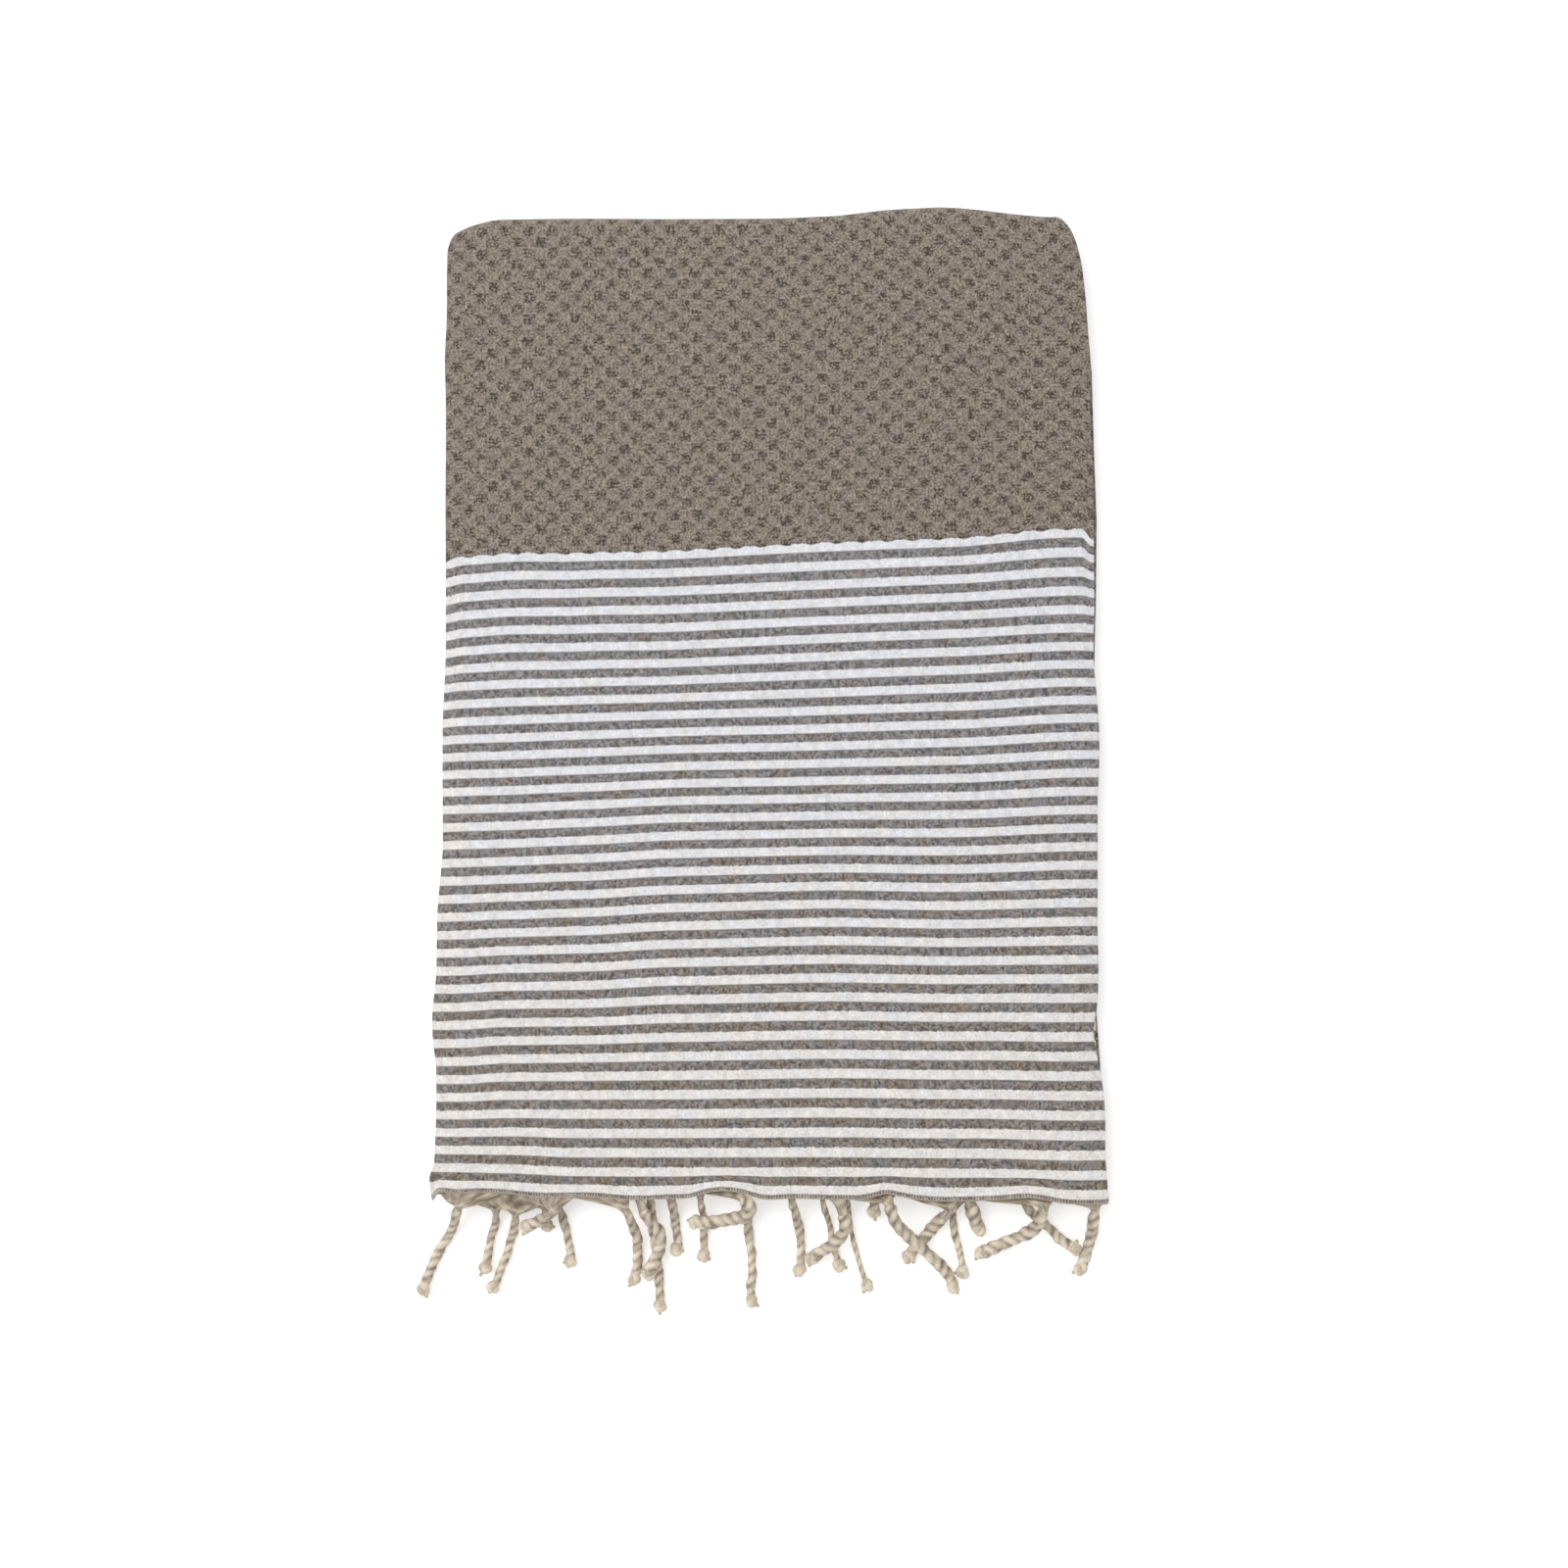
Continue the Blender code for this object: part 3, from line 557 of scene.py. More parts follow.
def along_rows():
    """The folded line along the cloth, from the upper hem: place along, height, the normal's
    two parts, the flat distance so far, and 1 where the honeycomb is raised in the mesh."""
    length = BACK_TURN - FRONT_HEM
    top = [HEM_ROWS, np.linspace(*BAND_ROWS), np.linspace(BAND, length, BODY_ROWS)]
    top = FRONT_HEM + np.concatenate(top)
    small, outer = LAYER_PITCH / 2, (HEIGHT_TOP - HEIGHT_FIRST) / 2
    front_height = (HEIGHT_FIRST + HEIGHT_SECOND) / 2
    runs = [
        # a flat run: places along, height, and the side of the normal;
        # a turn: its middle along and up, radius, first and last angle, side, and steps
        (top, HEIGHT_TOP, 1),
        (BACK_TURN, BACK_TURN_HEIGHT, outer, 90, -90, 1, 14),
        (np.linspace(BACK_TURN, FRONT_TURN, 15), HEIGHT_FIRST, -1),
        (FRONT_TURN, front_height, small, 270, 90, 1, 8),
        (np.linspace(FRONT_TURN, BACK_TURN, 13), HEIGHT_SECOND, 1),
        (BACK_TURN, BACK_TURN_HEIGHT, small, -90, 90, -1, 8),
        (BACK_TURN + (LOWER_HEM - BACK_TURN) * np.linspace(0, 1, 15) ** 0.6, HEIGHT_THIRD, -1),
    ]
    rows = []
    for run in runs:
        if len(run) == 3:
            along, height, up = run
            level = np.zeros(len(along))
            rows.append(np.stack([along, level + height, level, level + up], 1))
        else:
            middle, height, radius, first, last, side, steps = run
            turn = np.radians(np.linspace(first, last, steps + 1)[1:-1])
            out, up = np.cos(turn), np.sin(turn)
            arc = [middle + radius * out, height + radius * up, side * out, side * up]
            rows.append(np.stack(arc, 1))
    along, height, normal_along, normal_up = np.concatenate(rows).T
    steps = np.hypot(np.diff(along), np.diff(height))
    flat = np.concatenate([[0.0], np.cumsum(steps)])
    raised = smooth_step(*RELIEF_BEGINS, flat) * (flat < length + math.pi * outer - 0.1)
    return along, height, normal_along, normal_up, flat, raised


def hollow(flat_across, flat_along):
    """How sunk the honeycomb is at a place of the flat cloth: 1 in the middle of a hollow and
    0 on the ridges. The hollows stand in rows, and every other row is half a cell over."""
    depth = 0.0
    for shift in (0.0, 0.5):
        away = np.abs((flat_across / CELL_ACROSS + shift) % 1 - 0.5) * CELL_ACROSS
        over = np.abs(((flat_along - BAND) / CELL_ALONG + shift) % 1 - 0.5) * CELL_ALONG
        sunk = 1 - smooth_step(*HOLLOW_HALF_ACROSS, away)
        depth = np.maximum(depth, sunk * (1 - smooth_step(*HOLLOW_HALF_ALONG, over)))
    return depth


def woven_cloth(material):
    """The whole cloth: a grid laid in its folds, with the honeycomb's hollows pressed in where
    it shows, and then given its thickness."""
    share, bulge, ply_height, flat_across = across_columns()
    along, height, normal_along, normal_up, flat_along, raised = along_rows()
    flat_across, flat_along = np.meshgrid(flat_across, flat_along)
    drift = weave_drift(share[None, :], along[:, None], flat_along)
    flat_along = flat_along + drift * (height == HEIGHT_TOP)[:, None]
    shown = raised[:, None] * smooth_step(*PLAIN_SELVEDGE, flat_across) * (ply_height > 0)
    relief = RELIEF * (RIDGE_SHARE - hollow(flat_across, flat_along)) * shown
    rows = (part[:, None] for part in (along, height, normal_along, normal_up))
    shape = flat_along.shape
    place = laid(share[None, :], bulge[None, :], ply_height + relief, *rows)
    points = np.stack([np.broadcast_to(part, shape) for part in place], -1)
    corner = grid_faces(*shape)
    faces = [corner[0] * shape[1] + corner[1]]
    places = np.stack([flat_across[corner], flat_along[corner]], -1).reshape(-1, 2)
    cloth = make_piece("towel_cloth", points.reshape(-1, 3), faces, places, material)
    thickness = cloth.modifiers.new("thickness", "SOLIDIFY")
    thickness.thickness = CLOTH_THICKNESS * MM
    thickness.offset = 0.0
    return cloth


# ------ the fringe


def at_hem(across, ply, hem, height, up, dressed):
    """Points of a ply at a place along its layer, for places across the towel."""
    left, right = sides(np.full_like(across, hem))
    share = (across - (left + right) / 2) / ((right - left) / 2)
    share = np.clip(share, -TASSEL_REACH, TASSEL_REACH)
    level = np.zeros_like(across)
    place = laid(share, level, level + ply * PLY_PITCH, level + hem, level + height, level,
                 level + up, dressed)
    return np.stack(place, -1)


def strand_route(root, headings, length, radius, fall, rest, step):
    """The middle line of a tassel: its heading changes evenly from one given heading to the
    next, and it comes down over its fall to lie on its rest height."""
    travel = np.arange(0.0, length + step, step)
    turns = np.interp(travel, np.linspace(0.0, length, len(headings)), headings)
    turns = np.radians((turns + np.roll(turns, 1)) / 2)
    turns[0] = math.radians(headings[0])
    advance = np.append(0.0, np.diff(travel))
    across = root[0] + np.cumsum(np.sin(turns) * advance)
    along = root[1] - np.cumsum(np.cos(turns) * advance)
    down = smooth_step(0, fall, travel)
    up = root[2] * (1 - down) + (rest + SETTLED * radius) * down
    up = swelled(across, along, up, *sides(along))
    return travel, np.stack([across, along, up], 1)


def warp_fan(bundle, starts, middle, ahead, radius, ridges, drop, slack, painted_shade, detail):
    """The warp from the cloth's edge to where a tassel's twist begins: a closed sleeve whose
    first ring is flat and as wide as its stretch of the edge, and whose last is round. Each
    of its lines is a cubic that first follows the edge, hangs from it by its slack, and then
    turns to the tassel's own direction. Round ridges stand for the yarns. Painted shade
    darkens the creases between them and the warp near the cloth's edge, and the given
    painted shade darkens it more where it leaves the cloth, fading towards the cord."""
    columns, rows = detail
    turn = whole_turn(columns)
    share = (1 - np.cos(turn)) / 2
    ridge = np.abs(np.sin(math.pi * ridges * share))
    first = np.stack([np.interp(share, np.linspace(0, 1, len(starts)), c) for c in starts.T], 1)
    thick = FAN_THICKNESS / 2 * np.sin(turn) * (0.7 + 0.3 * ridge)
    first = first + thick[:, None] * UPWARD
    reach = radius * (FAN_CREASE + (FAN_CREST - FAN_CREASE) * ridge)
    last = middle + reach[:, None] * ring_round(ahead, columns)
    t = np.linspace(0, 1, rows)[:, None, None]
    leaving = FAN_LEAVES * (last - first) * [1.0, 0.0, 0.3] - [0.0, SAG * slack, 0.0]
    rings = cubic(t, first, leaving, last, FAN_ARRIVES * drop * ahead)
    length = np.linalg.norm(last - first, axis=1).mean()
    # painted shade that fades towards the cord: the extra for lower plies and under the lifted hem
    painted_deep_shade = np.interp(share, np.linspace(0, 1, len(painted_shade)), painted_shade) * (1 - t[:, :, 0]) ** 1.5
    # painted shade in the creases between ridges and near the cloth's edge, lighter towards the
    # cord
    crown = 0.1 + 0.3 * ridge + 0.4 * t[:, :, 0] - painted_deep_shade
    bundle.add(rings, ridges * 3.0, t.ravel() * length, crown)


def twisted_cord(bundle, travel, route, radius, phase, around, rng):
    """A cord of two plies: its section is two round lobes, |cos|^0.75 of the angle from a line
    that turns once every pitch. Its thickness, its twist and its route wander a little, as in
    hand-twisted yarn, and its start is drawn in."""
    turn, stations = whole_turn(around), travel[::6]
    thicker, ahead, aside = (
        share * np.interp(travel, stations, rng.normal(0, 1, len(stations)))[:, None]
        for share in CORD_WANDER
    )
    twist = 2 * math.pi * travel[:, None] / TWIST_PITCH + phase + ahead
    lobe = np.abs(np.cos(turn + twist)) ** 0.75
    reach = radius * (0.76 + 0.25 * lobe) * (1 + thicker)
    full = smooth_step(0, CORD_START, travel - travel[0])[:, None]
    route = route + aside * [1.0, 0.3, 0.0]
    rings = carried(route, reach * (0.35 + 0.65 * full))
    # painted light on the upper side of the cord, and painted shade in the creases between its two
    # plies
    painted_top_light = 0.5 + 0.5 * np.sin(turn)
    bundle.add(rings, 2 * math.pi * radius, travel, lobe * (0.42 + 0.37 * painted_top_light) + 0.16)


def knot(bundle, middle, radius, rng, detail):
    """The knot at a tassel's end: a closed loop that winds round itself like a three-leaved
    knot, (sin t + 2 sin 2t, cos t - 2 cos 2t, -1.6 sin 3t), so thick that it closes into a
    ball."""
    around, steps = detail
    t = whole_turn(steps)
    loop = [np.sin(t) + 2 * np.sin(2 * t), np.cos(t) - 2 * np.cos(2 * t), -1.6 * np.sin(3 * t)]
    loop = np.stack(loop, 1)
    turned, _ = np.linalg.qr(rng.normal(size=(3, 3)))
    loop = loop / 3 @ (turned * np.sign(np.linalg.det(turned)))
    route = middle + loop * radius * KNOT_LOOP * [1.0, 1.0, 0.9]
    rings = carried(route, np.full((steps, around), KNOT_YARN * radius), unit(loop), closed=True)
    # painted shade: darker towards the middle of the ball, in the creases between its turns
    crown = np.clip(np.linalg.norm(rings - middle, axis=2) / radius - 0.15, 0, 0.6) / 0.6
    bundle.add(rings, 3 * radius, t * radius, crown, closed=True)


def cut_tip(bundle, middle, heading, radius, rng):
    """The yarns' cut end past a knot: a short stub that stands a little out of it."""
    away = math.radians(heading + rng.uniform(-60, 60))
    lift = rng.uniform(-0.3, 0.3)
    ahead = np.array([math.sin(away), -math.cos(away), lift])
    t, size = np.array(TIP).T[:, :, None]
    reach = radius + rng.uniform(0.2, 1.2)
    route = middle + t * reach * ahead
    route[:, 2] = np.maximum(route[:, 2], TIP_HEIGHT)
    bundle.add(carried(route, size * np.ones(8)), 5.0, t.ravel() * reach, 0.8)


def tassels(name, rows, hem, height, up, detail, material, seed):
    """All tassels of one end of the cloth: for each, the warp from its stretch of the cloth's
    edge, the twisted cord, the knot, and the cut end. The warp gets more painted shade the
    lower its ply is, and where the hem is lifted over a tassel's root, the root stays down
    and its warp gets painted shade under the hem."""
    bundle, rng = Bundle(), np.random.default_rng(seed)
    strip = hem - STRIP_GAP - STRIP_WIDTH / 2
    for ply, across, length, radius, fall, rest, headings, left, right, gather, slack in rows:
        root = at_hem(np.array([float(across)]), ply, strip, height, up, False)[0]
        travel, route = strand_route(root, headings, length, radius, fall, rest, detail["step"])
        twisted = (travel > gather - CORD_START) & (travel < length - 0.45 * KNOT_LENGTH)
        cord, cord_travel = route[twisted], travel[twisted]
        phase = rng.uniform(0, math.pi)
        twisted_cord(bundle, cord_travel, cord, radius, phase, detail["around"], rng)
        starts = np.linspace(across - left, across + right, FAN_STARTS)
        starts = at_hem(starts, ply, hem + FAN_INSIDE, height, up, True)
        # painted shade on the warp of the lower plies
        painted_shade = np.full(FAN_STARTS, PLY_PAINTED_SHADE * (TOP - ply))
        if ply == TOP and height == HEIGHT_TOP:
            sunk = through(DRESSED_EDGE, 2, starts[:, 0])
            starts = starts + sunk[:, None] * FAN_SUNK
            cord = cord + np.linspace(1, 0, len(cord))[:, None] * CORD_SUNK * sunk.max()
            # painted shade on the warp under the lifted hem
            painted_shade = SUNK_PAINTED_SHADE * sunk
        joins = min(round(FAN_JOINS / detail["step"]), len(cord) - 2)
        ahead = unit(cord[joins + 1] - cord[joins])
        ridges = max(FEWEST_RIDGES, round((left + right) / RIDGE_PITCH))
        warp_fan(bundle, starts, cord[joins], ahead, radius, ridges, gather, slack, painted_shade,
                 detail["fan"])
        ball = KNOT_RADIUS + KNOT_SHARE * radius
        middle = cord[-1] + [0.0, 0.0, max(0.0, ball - cord[-1][2])]
        knot(bundle, middle, ball, rng, detail["knot"])
        heading = headings[-1] + rng.uniform(-45, 45)
        cut_tip(bundle, middle, heading, ball, rng)
    return bundle.piece(name, material)


def lower_rows():
    """The lower end's tassels, evenly spaced in each ply, each a little out of line."""
    rows = []
    level = HEIGHT_SECOND + PLY_PITCH + CLOTH_THICKNESS / 2 + STRIP_GAP
    for ply, first in LOWER_FIRST:
        for k in range(LOWER_NUMBER):
            sway = LOWER_SWAY * math.sin(LOWER_TURN * k + ply)
            headings = (0.0, sway, -0.5 * sway)
            rows.append((ply, first + k * LOWER_PITCH, LOWER_LENGTH, LOWER_RADIUS, LOWER_FALL,
                         level, headings, *LOWER_WARP))
    return rows


# ------ finishes

# Colours as a screen shows them, from 0 to 255: at the start and at the end of a mix
BODY = (178, 165, 150), (68, 58, 49)
BODY_LILAC = (173, 161, 158), (66, 57, 55)
STRIPE_GREY = (82, 78, 77), (160, 156, 155)
STRIPE_BROWN = (84, 73, 64), (158, 147, 135)
STRIPE_SLATE = (76, 76, 80), (152, 151, 156)
WHITE_COOL = (205, 206, 209), (240, 241, 247)
WHITE_CREAM = (211, 206, 202), (246, 242, 238)
OPEN_WARP = (150, 139, 127), (205, 196, 184)
LAST_WEFT_DOT = (100, 92, 86)
YARN = (112, 97, 80), (242, 229, 208)
YARN_YELLOW = (116, 100, 75), (236, 221, 190)
# the yarn's painted shade, where it lies deepest
YARN_PAINTED_SHADE = (58, 49, 41)

# Soft shapes in colour: where each has died out, and where it is whole, from its middle
HOLLOW_PATCH, BAR_PATCH = ((4.5, 1.2), (4.0, 0.8)), ((3.6, 1.6), (3.4, 2.2))  # across, along
WHITE_LINE = (WHITE_STRIPE / 2 + 0.22, WHITE_STRIPE / 2 - 0.22)
BORDER, SCALLOP = (BAND + 0.3, BAND - 0.3), 0.8  # the band's, from the cloth's end


def linear(red, green, blue):
    """The shader's colour for one that is given as a screen shows it, from 0 to 255."""
    screen = np.array([red, green, blue]) / 255
    value = np.where(screen <= 0.04045, screen / 12.92, ((screen + 0.055) / 1.055) ** 2.4)
    return (*(float(v) for v in value), 1.0)


def operator(kind, reflected=False):
    """A method of Value that adds the Math node of an operator, or of its reflected form."""

    def method(value, other):
        first, second = (other, value) if reflected else (value, other)
        return value.node("ShaderNodeMath", {"operation": kind}, {0: first, 1: second})

    return method


class Value:
    """A socket of a material's nodes. Sums and products of values add Math nodes, and node()
    adds any other node."""

    __add__ = __radd__ = operator("ADD")
    __mul__ = __rmul__ = operator("MULTIPLY")
    __sub__, __rsub__ = operator("SUBTRACT"), operator("SUBTRACT", True)
    __truediv__, __rtruediv__ = operator("DIVIDE"), operator("DIVIDE", True)

    def __init__(self, tree, socket=None):
        self.tree, self.socket = tree, socket

    def node(self, kind, settings=None, sockets=None, output=0):
        """A new node: its settings first, then a value or a link for each named socket."""
        node = self.tree.nodes.new(kind)
        for name, setting in (settings or {}).items():
            setattr(node, name, setting)
        for name, value in (sockets or {}).items():
            if isinstance(value, Value):
                self.tree.links.new(value.socket, node.inputs[name])
            else:
                node.inputs[name].default_value = value
        return Value(self.tree, node.outputs[output])

    def output(self, number):
        """Another output of the same node."""
        return Value(self.tree, self.socket.node.outputs[number])

    def into(self, socket):
        """Links this value to a socket of the shader."""
        self.tree.links.new(self.socket, socket)

    def math(self, operation, *others):
        """A Math node on this value and the others."""
        sockets = dict(enumerate((self, *others)))
        return self.node("ShaderNodeMath", {"operation": operation}, sockets)

    def __abs__(self):
        return self.math("ABSOLUTE")

    def clamped(self):
        """This value, kept from 0 to 1."""
        return self.node("ShaderNodeClamp", {}, {0: self})

    def wave(self, repeat, kind="SINE"):
        """A wave of this value, with its repeat."""
        return (self * (2 * math.pi / repeat)).math(kind)

    def rises(self, start, end):
        """0 before start and 1 after end, with a smooth rise between them. Start may be the
        larger of the two, and it then falls."""
        settings = {"interpolation_type": "SMOOTHSTEP"}
        sockets = {"Value": self, "From Min": start, "From Max": end}
        return self.node("ShaderNodeMapRange", settings, sockets)

    def noise(self, size, detail=2.0):
        """Soft noise round 0 on this flat place, about as coarse as the size in millimetres."""
        settings = {"noise_dimensions": "2D"}
        sockets = {"Vector": self, "Scale": 1 / (size * MM), "Detail": detail}
        return self.node("ShaderNodeTexNoise", settings, sockets) - 0.5

    def mix(self, first, second):
        """A colour from the first to the second as this value goes from 0 to 1."""
        settings = {"data_type": "RGBA"}
        return self.node("ShaderNodeMix", settings, {0: self, 6: first, 7: second}, output=2)

    def between(self, colours):
        """A mix of two colours that are given as a screen shows them."""
        return self.mix(linear(*colours[0]), linear(*colours[1]))

    def bump(self, strength, depth):
        """The normal of a surface that this value raises by up to the depth."""
        sockets = {"Strength": strength, "Distance": depth * MM, "Height": self}
        return self.node("ShaderNodeBump", {}, sockets)


def new_finish(name, roughness, sheen):
    """A material, its start for node values, and its shader."""
    material = bpy.data.materials.new(name)
    material.use_nodes = True
    tree = material.node_tree
    shader = tree.nodes["Principled BSDF"]
    shader.inputs["Roughness"].default_value = roughness
    shader.inputs["Specular IOR Level"].default_value = 0.25
    shader.inputs["Sheen Weight"].default_value = sheen
    shader.inputs["Sheen Roughness"].default_value = 0.6
    return material, Value(tree), shader


def flat_places(start):
    """A point's place on its piece's flat map: as it is, and then its two parts, across and
    along, in millimetres."""
    flat = start.node("ShaderNodeUVMap", {"uv_map": "weave"})
    parts = start.node("ShaderNodeSeparateXYZ", {}, {0: flat})
    return flat, parts / MM, parts.output(1) / MM


def stripes(across, from_end, tooth, coarse):
    """(1 on the white stripes, 1 within the band). A stripe is known by the distance from the
    middle of the nearest white one, and the band's border is scalloped by the cells."""
    scallop = across.wave(CELL_ACROSS, "COSINE") * SCALLOP
    repeats = (BAND - from_end + coarse * 0.5 + tooth - WHITE_STRIPE / 2) / STRIPE_REPEAT
    away = abs((repeats + 0.5).math("FRACT") - 0.5) * STRIPE_REPEAT
    white = away.rises(*WHITE_LINE)
    in_band = (from_end + scallop + tooth).rises(*BORDER)
    return white * in_band * from_end.rises(LAST_WEFT - 0.1, LAST_WEFT + 0.1), in_band


def hollows(across, along, wander):
    """(how far down in a hollow a place is, how dark a bar there is). A hollow is a soft patch
    with dark bars across its middle. The hollows stand in rows, every other one half a cell
    over, and they wander a little."""
    depths, bars = [], []
    for shift in (0.0, 0.5):
        cell = (across + wander) / CELL_ACROSS + shift
        row = (along - BAND - wander * 0.4) / CELL_ALONG + shift
        beside = abs(cell.math("FRACT") - 0.5) * CELL_ACROSS
        over = (row.math("FRACT") - 0.5) * CELL_ALONG
        away = abs(over)
        depths.append(beside.rises(*HOLLOW_PATCH[0]) * away.rises(*HOLLOW_PATCH[1]))
        bar = over.wave(BAR_PITCH, "COSINE") * 0.5 + 0.5
        bars.append(bar * beside.rises(*BAR_PATCH[0]) * away.rises(*BAR_PATCH[1]))
    return depths[0].math("MAXIMUM", depths[1]), bars[0].math("MAXIMUM", bars[1])


def stripe_colour(flat, across, from_end, white, weft, fine):
    """The band's colour: threads of a cool or a creamy white on the white stripes, and a grey
    weft with browner and bluer patches between them. Both are warmer towards the fringe, and
    the white also beside the free edge."""
    warmer = from_end.rises(300.0, -60.0)
    tint = flat.noise(12.0, 1.0) * 3.0
    brown = warmer * 0.9 + tint * 0.7 - 0.06
    slate = flat.noise(9.0, 1.0).rises(0.0, 0.22) * 0.6
    dark = brown.mix(weft.between(STRIPE_GREY), weft.between(STRIPE_BROWN))
    dark = slate.mix(dark, weft.between(STRIPE_SLATE))
    cream = warmer + across.rises(18.0, 4.0) * 0.6 + tint * 0.5
    thread = flat.noise(4.0) * 1.2 + fine * 1.2 + 0.5
    pale = cream.mix(thread.between(WHITE_COOL), thread.between(WHITE_CREAM))
    return white.mix(dark, pale)


def hem_colour(across, from_end, fine, coarse):
    """The end's colour: the last weft's dark dots, which the free corner hasn't got, on the
    open warp."""
    dots = (across.wave(HEM_DOTS) + fine * 5.0 + coarse * 4.0).rises(-0.9, 0.9)
    dots = dots * across.rises(3.0, 7.0) * from_end.rises(WARP_ONLY - 0.3, WARP_ONLY + 0.3)
    return dots.mix((fine * 0.8 + 0.5).between(OPEN_WARP), linear(*LAST_WEFT_DOT))


def honeycomb_cotton(length):
    """The cloth's finish. Both ends have the stripes, up to the band's border; between the
    borders, the hollows show the dark weft. A fine checker of warp and weft covers it all,
    with noise of several sizes."""
    material, start, shader = new_finish("honeycomb cotton", 0.92, 0.12)
    flat, across, along = flat_places(start)
    from_end = along.math("MINIMUM", length - along)
    fine, middling = flat.noise(1.0, 1.0), flat.noise(2.3, 1.0)
    coarse, broad = flat.noise(3.4), flat.noise(8.0, 1.0)
    checker = across.wave(THREADS_ACROSS) * along.wave(THREADS_ALONG)
    speckle = fine * 5.0 + checker * 0.35

    tooth = across.wave(TOOTH) * 0.16 + fine * 0.9
    white, in_band = stripes(across, from_end, tooth, coarse)
    weft = (fine * 2.4 + middling * 1.2 + coarse * 1.4 + checker * 0.5 + 0.5).clamped()
    band = stripe_colour(flat, across, from_end, white, weft, fine)

    depth, bars = hollows(across, along, coarse * 2.4 + middling * 1.4)
    uneven = broad.rises(-0.2, 0.2) * 0.5 + middling * 1.2 + 0.65
    dark = (depth * 0.30 + bars * 0.29) * uneven + speckle * (depth * 0.14 + 0.35)
    body = ((dark + middling * 0.9) * 0.74 + 0.485).clamped()
    lilac = flat.noise(10.0, 1.0).rises(-0.05, 0.2) * 0.4
    ground = lilac.mix(body.between(BODY), body.between(BODY_LILAC))

    colour = in_band.mix(ground, band)
    at_end = (from_end + middling * 0.8).rises(LAST_WEFT + 0.3, LAST_WEFT - 0.3)
    colour = at_end.mix(colour, hem_colour(across, from_end, fine, coarse))
    colour.into(shader.inputs["Base Color"])
    (fine * 0.12 + 0.9).into(shader.inputs["Roughness"])
    relief = speckle * 0.22 + white * 0.12 - depth * (1.0 - in_band) * 0.35
    relief.bump(0.55, 0.35).into(shader.inputs["Normal"])
    return material


def cotton_yarn():
    """The fringe's finish: cream with painted light on the crowns of the yarns and painted shade
    in the creases, a dark painted shade where the yarn lies deepest, fine streaks along the
    fibres and patches of a yellower cream."""
    material, start, shader = new_finish("cream cotton yarn", 0.86, 0.15)
    flat, across, along = flat_places(start)
    # the crown value: painted light and shade of the yarns, which also raises their crowns in the
    # bump
    crown = start.node("ShaderNodeAttribute", {"attribute_name": "crown"}, {}, output="Fac")
    fibres = (across * 9.0 + along * 5.0 + flat.noise(2.0) * 9.0).math("SINE")
    # painted light and shade from the crown value, with fibre streaks and random patches of tone
    light = crown * 0.85 + fibres * 0.06 + flat.noise(5.0) * 1.3 + 0.02
    # painted shade: where the value is low, as under the lifted hem and at the roots of lower
    # plies, the colour turns to the yarn's dark painted shade
    painted_shade = light.rises(0.05, -0.6)
    light = light.clamped()
    yellow = flat.noise(9.0, 1.0).rises(-0.08, 0.12) * 0.4
    colour = yellow.mix(light.between(YARN), light.between(YARN_YELLOW))
    painted_shade.mix(colour, linear(*YARN_PAINTED_SHADE)).into(shader.inputs["Base Color"])
    (fibres * 0.35 + crown).bump(0.5, 0.2).into(shader.inputs["Normal"])
    return material


def pale_floor():
    """The floor's finish: a plain, white, matt one that is lit from within like a light table,
    so that shadows on it stay faint."""
    material, _, shader = new_finish("pale floor", 0.95, 0.0)
    shader.inputs["Base Color"].default_value = (0.9, 0.9, 0.9, 1.0)
    shader.inputs["Emission Color"].default_value = (1.0, 1.0, 1.0, 1.0)
    shader.inputs["Emission Strength"].default_value = FLOOR_GLOW
    return material


# ------ the studio


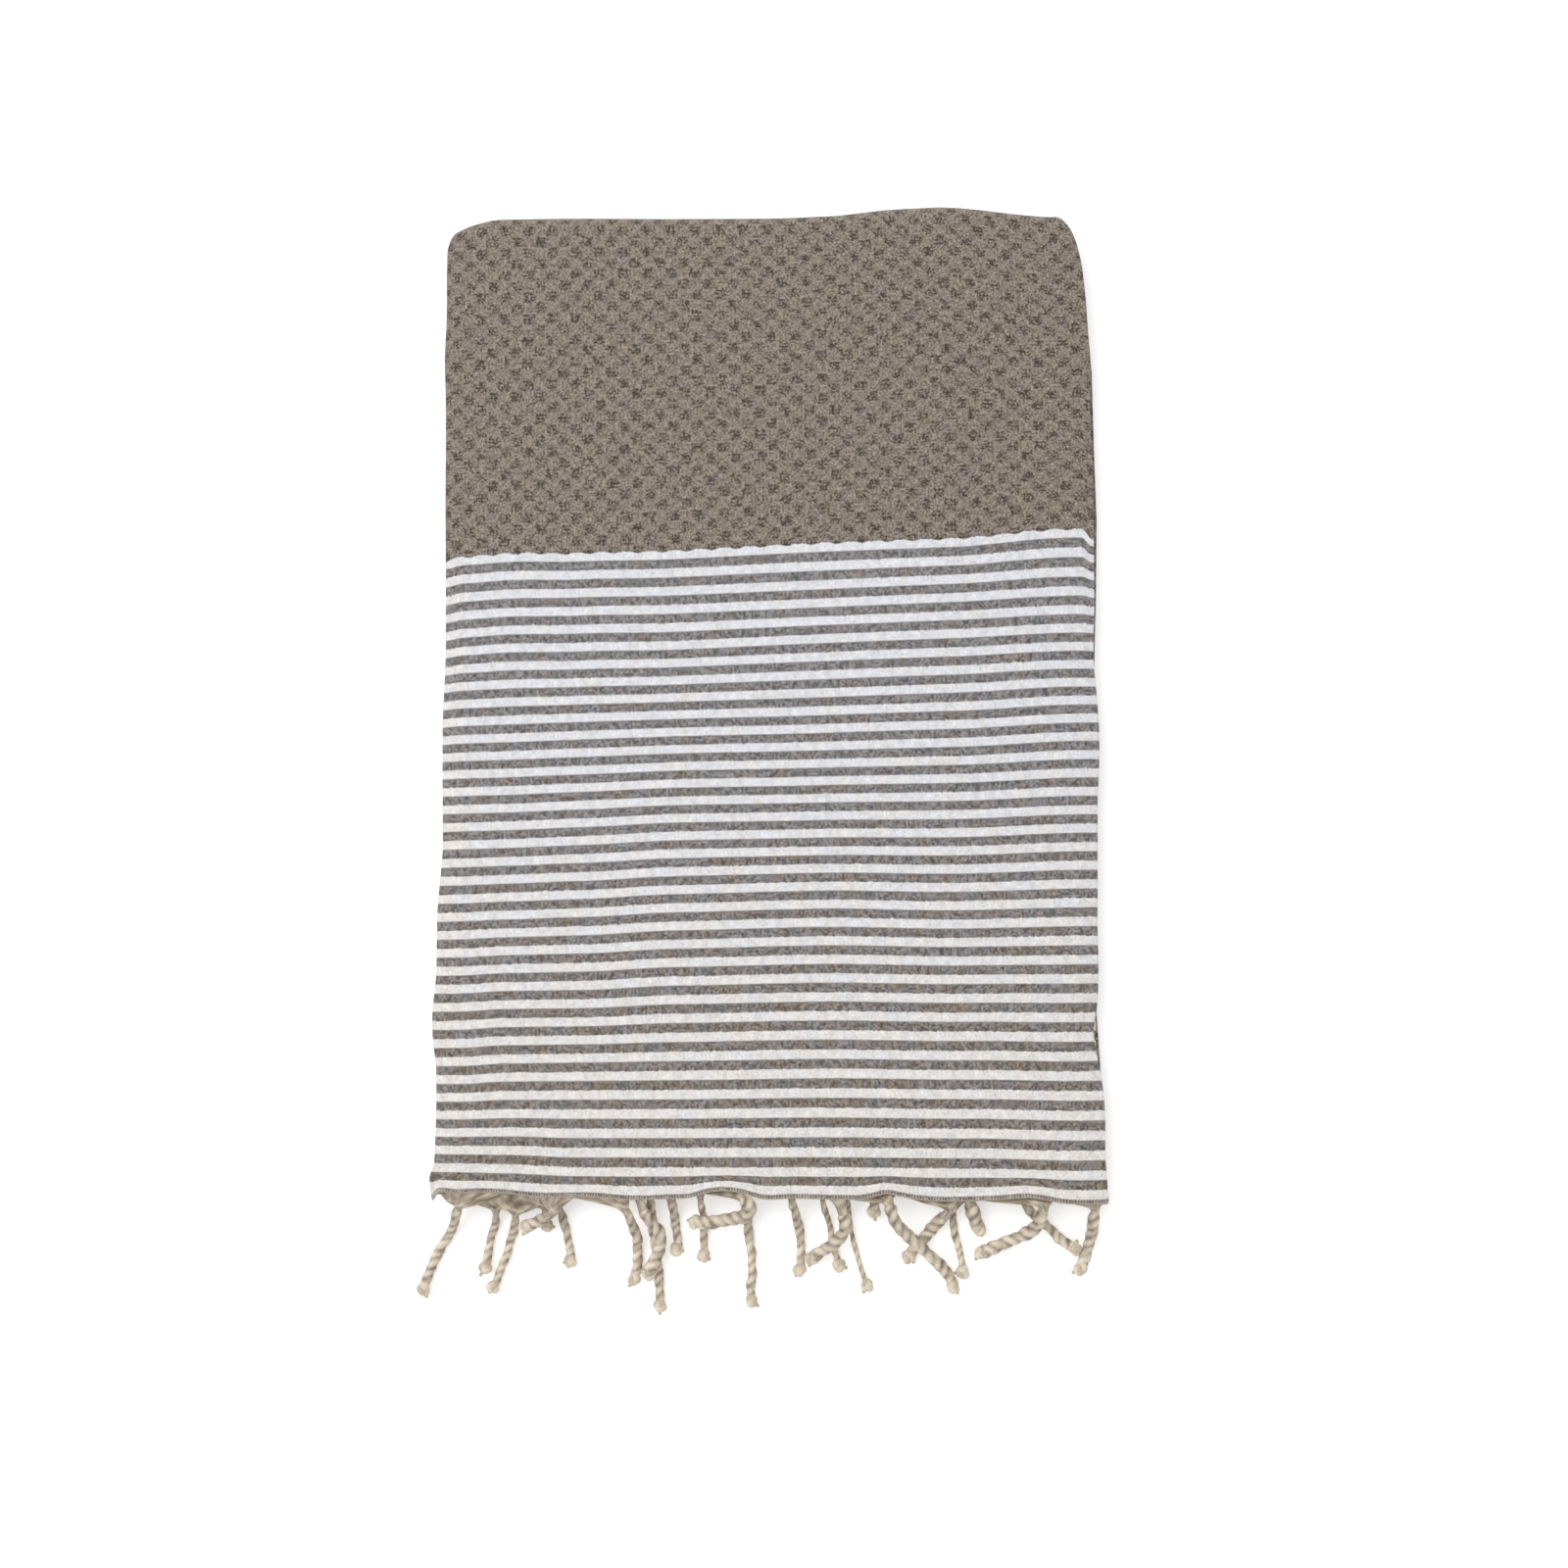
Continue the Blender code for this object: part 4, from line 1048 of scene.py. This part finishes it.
def make_camera():
    """The camera at the photograph's place and angle."""
    lens = bpy.data.cameras.new("camera")
    lens.lens, lens.sensor_width = LENS, SENSOR
    lens.clip_start, lens.clip_end = 0.01, 50.0
    camera = add_object("camera", lens)
    back = Vector(CAMERA_BACK).normalized()
    right = Vector(CAMERA_UP).cross(back).normalized()
    turn = Matrix((right, back.cross(right), back)).transposed()
    camera.matrix_world = Matrix.Translation(Vector(CAMERA_PLACE) * MM) @ turn.to_4x4()
    bpy.context.scene.camera = camera


def make_light():
    """A soft square lamp that shines at the middle of the towel."""
    lamp = bpy.data.lights.new("key", "AREA")
    lamp.shape, lamp.size, lamp.energy = "SQUARE", LIGHT_SIZE * MM, LIGHT_POWER
    light = add_object("key", lamp)
    light.location = Vector(LIGHT_PLACE) * MM
    light.rotation_euler = (-light.location).to_track_quat("-Z", "Y").to_euler()


def make_floor(material):
    """The plain floor under the towel."""
    corners = np.array([[-1, -1], [1, -1], [1, 1], [-1, 1]]) * FLOOR_REACH
    points = np.hstack([corners, np.full((4, 1), -FLOOR_DROP)])
    floor = make_piece("floor", points, [np.array([[0, 1, 2, 3]])], corners, material)


def make_world():
    """Even, soft light from all round."""
    world = bpy.data.worlds.new("studio")
    world.use_nodes = True
    background = world.node_tree.nodes["Background"]
    background.inputs["Color"].default_value = (1.0, 1.0, 1.0, 1.0)
    background.inputs["Strength"].default_value = ROOM_LIGHT
    bpy.context.scene.world = world
    bpy.context.scene.view_settings.view_transform = "Standard"


# ------ the towel

make_camera()
make_light()
make_world()
make_floor(pale_floor())

yarn = cotton_yarn()
flat_length = float(along_rows()[4].max())
cloth = woven_cloth(honeycomb_cotton(flat_length))
upper = tassels("upper_fringe", UPPER_TASSELS, FRONT_HEM, HEIGHT_TOP, 1, FINE, yarn, 7)
lower = tassels("lower_fringe", lower_rows(), LOWER_HEM, HEIGHT_THIRD, -1, PLAIN, yarn, 11)

for piece, node, finish in (
    (cloth, "towel", "woven_cotton"),
    (upper, "fringe_upper", "cotton_yarn"),
    (lower, "fringe_lower", "cotton_yarn"),
):
    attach(piece, "root")
    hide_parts(node)
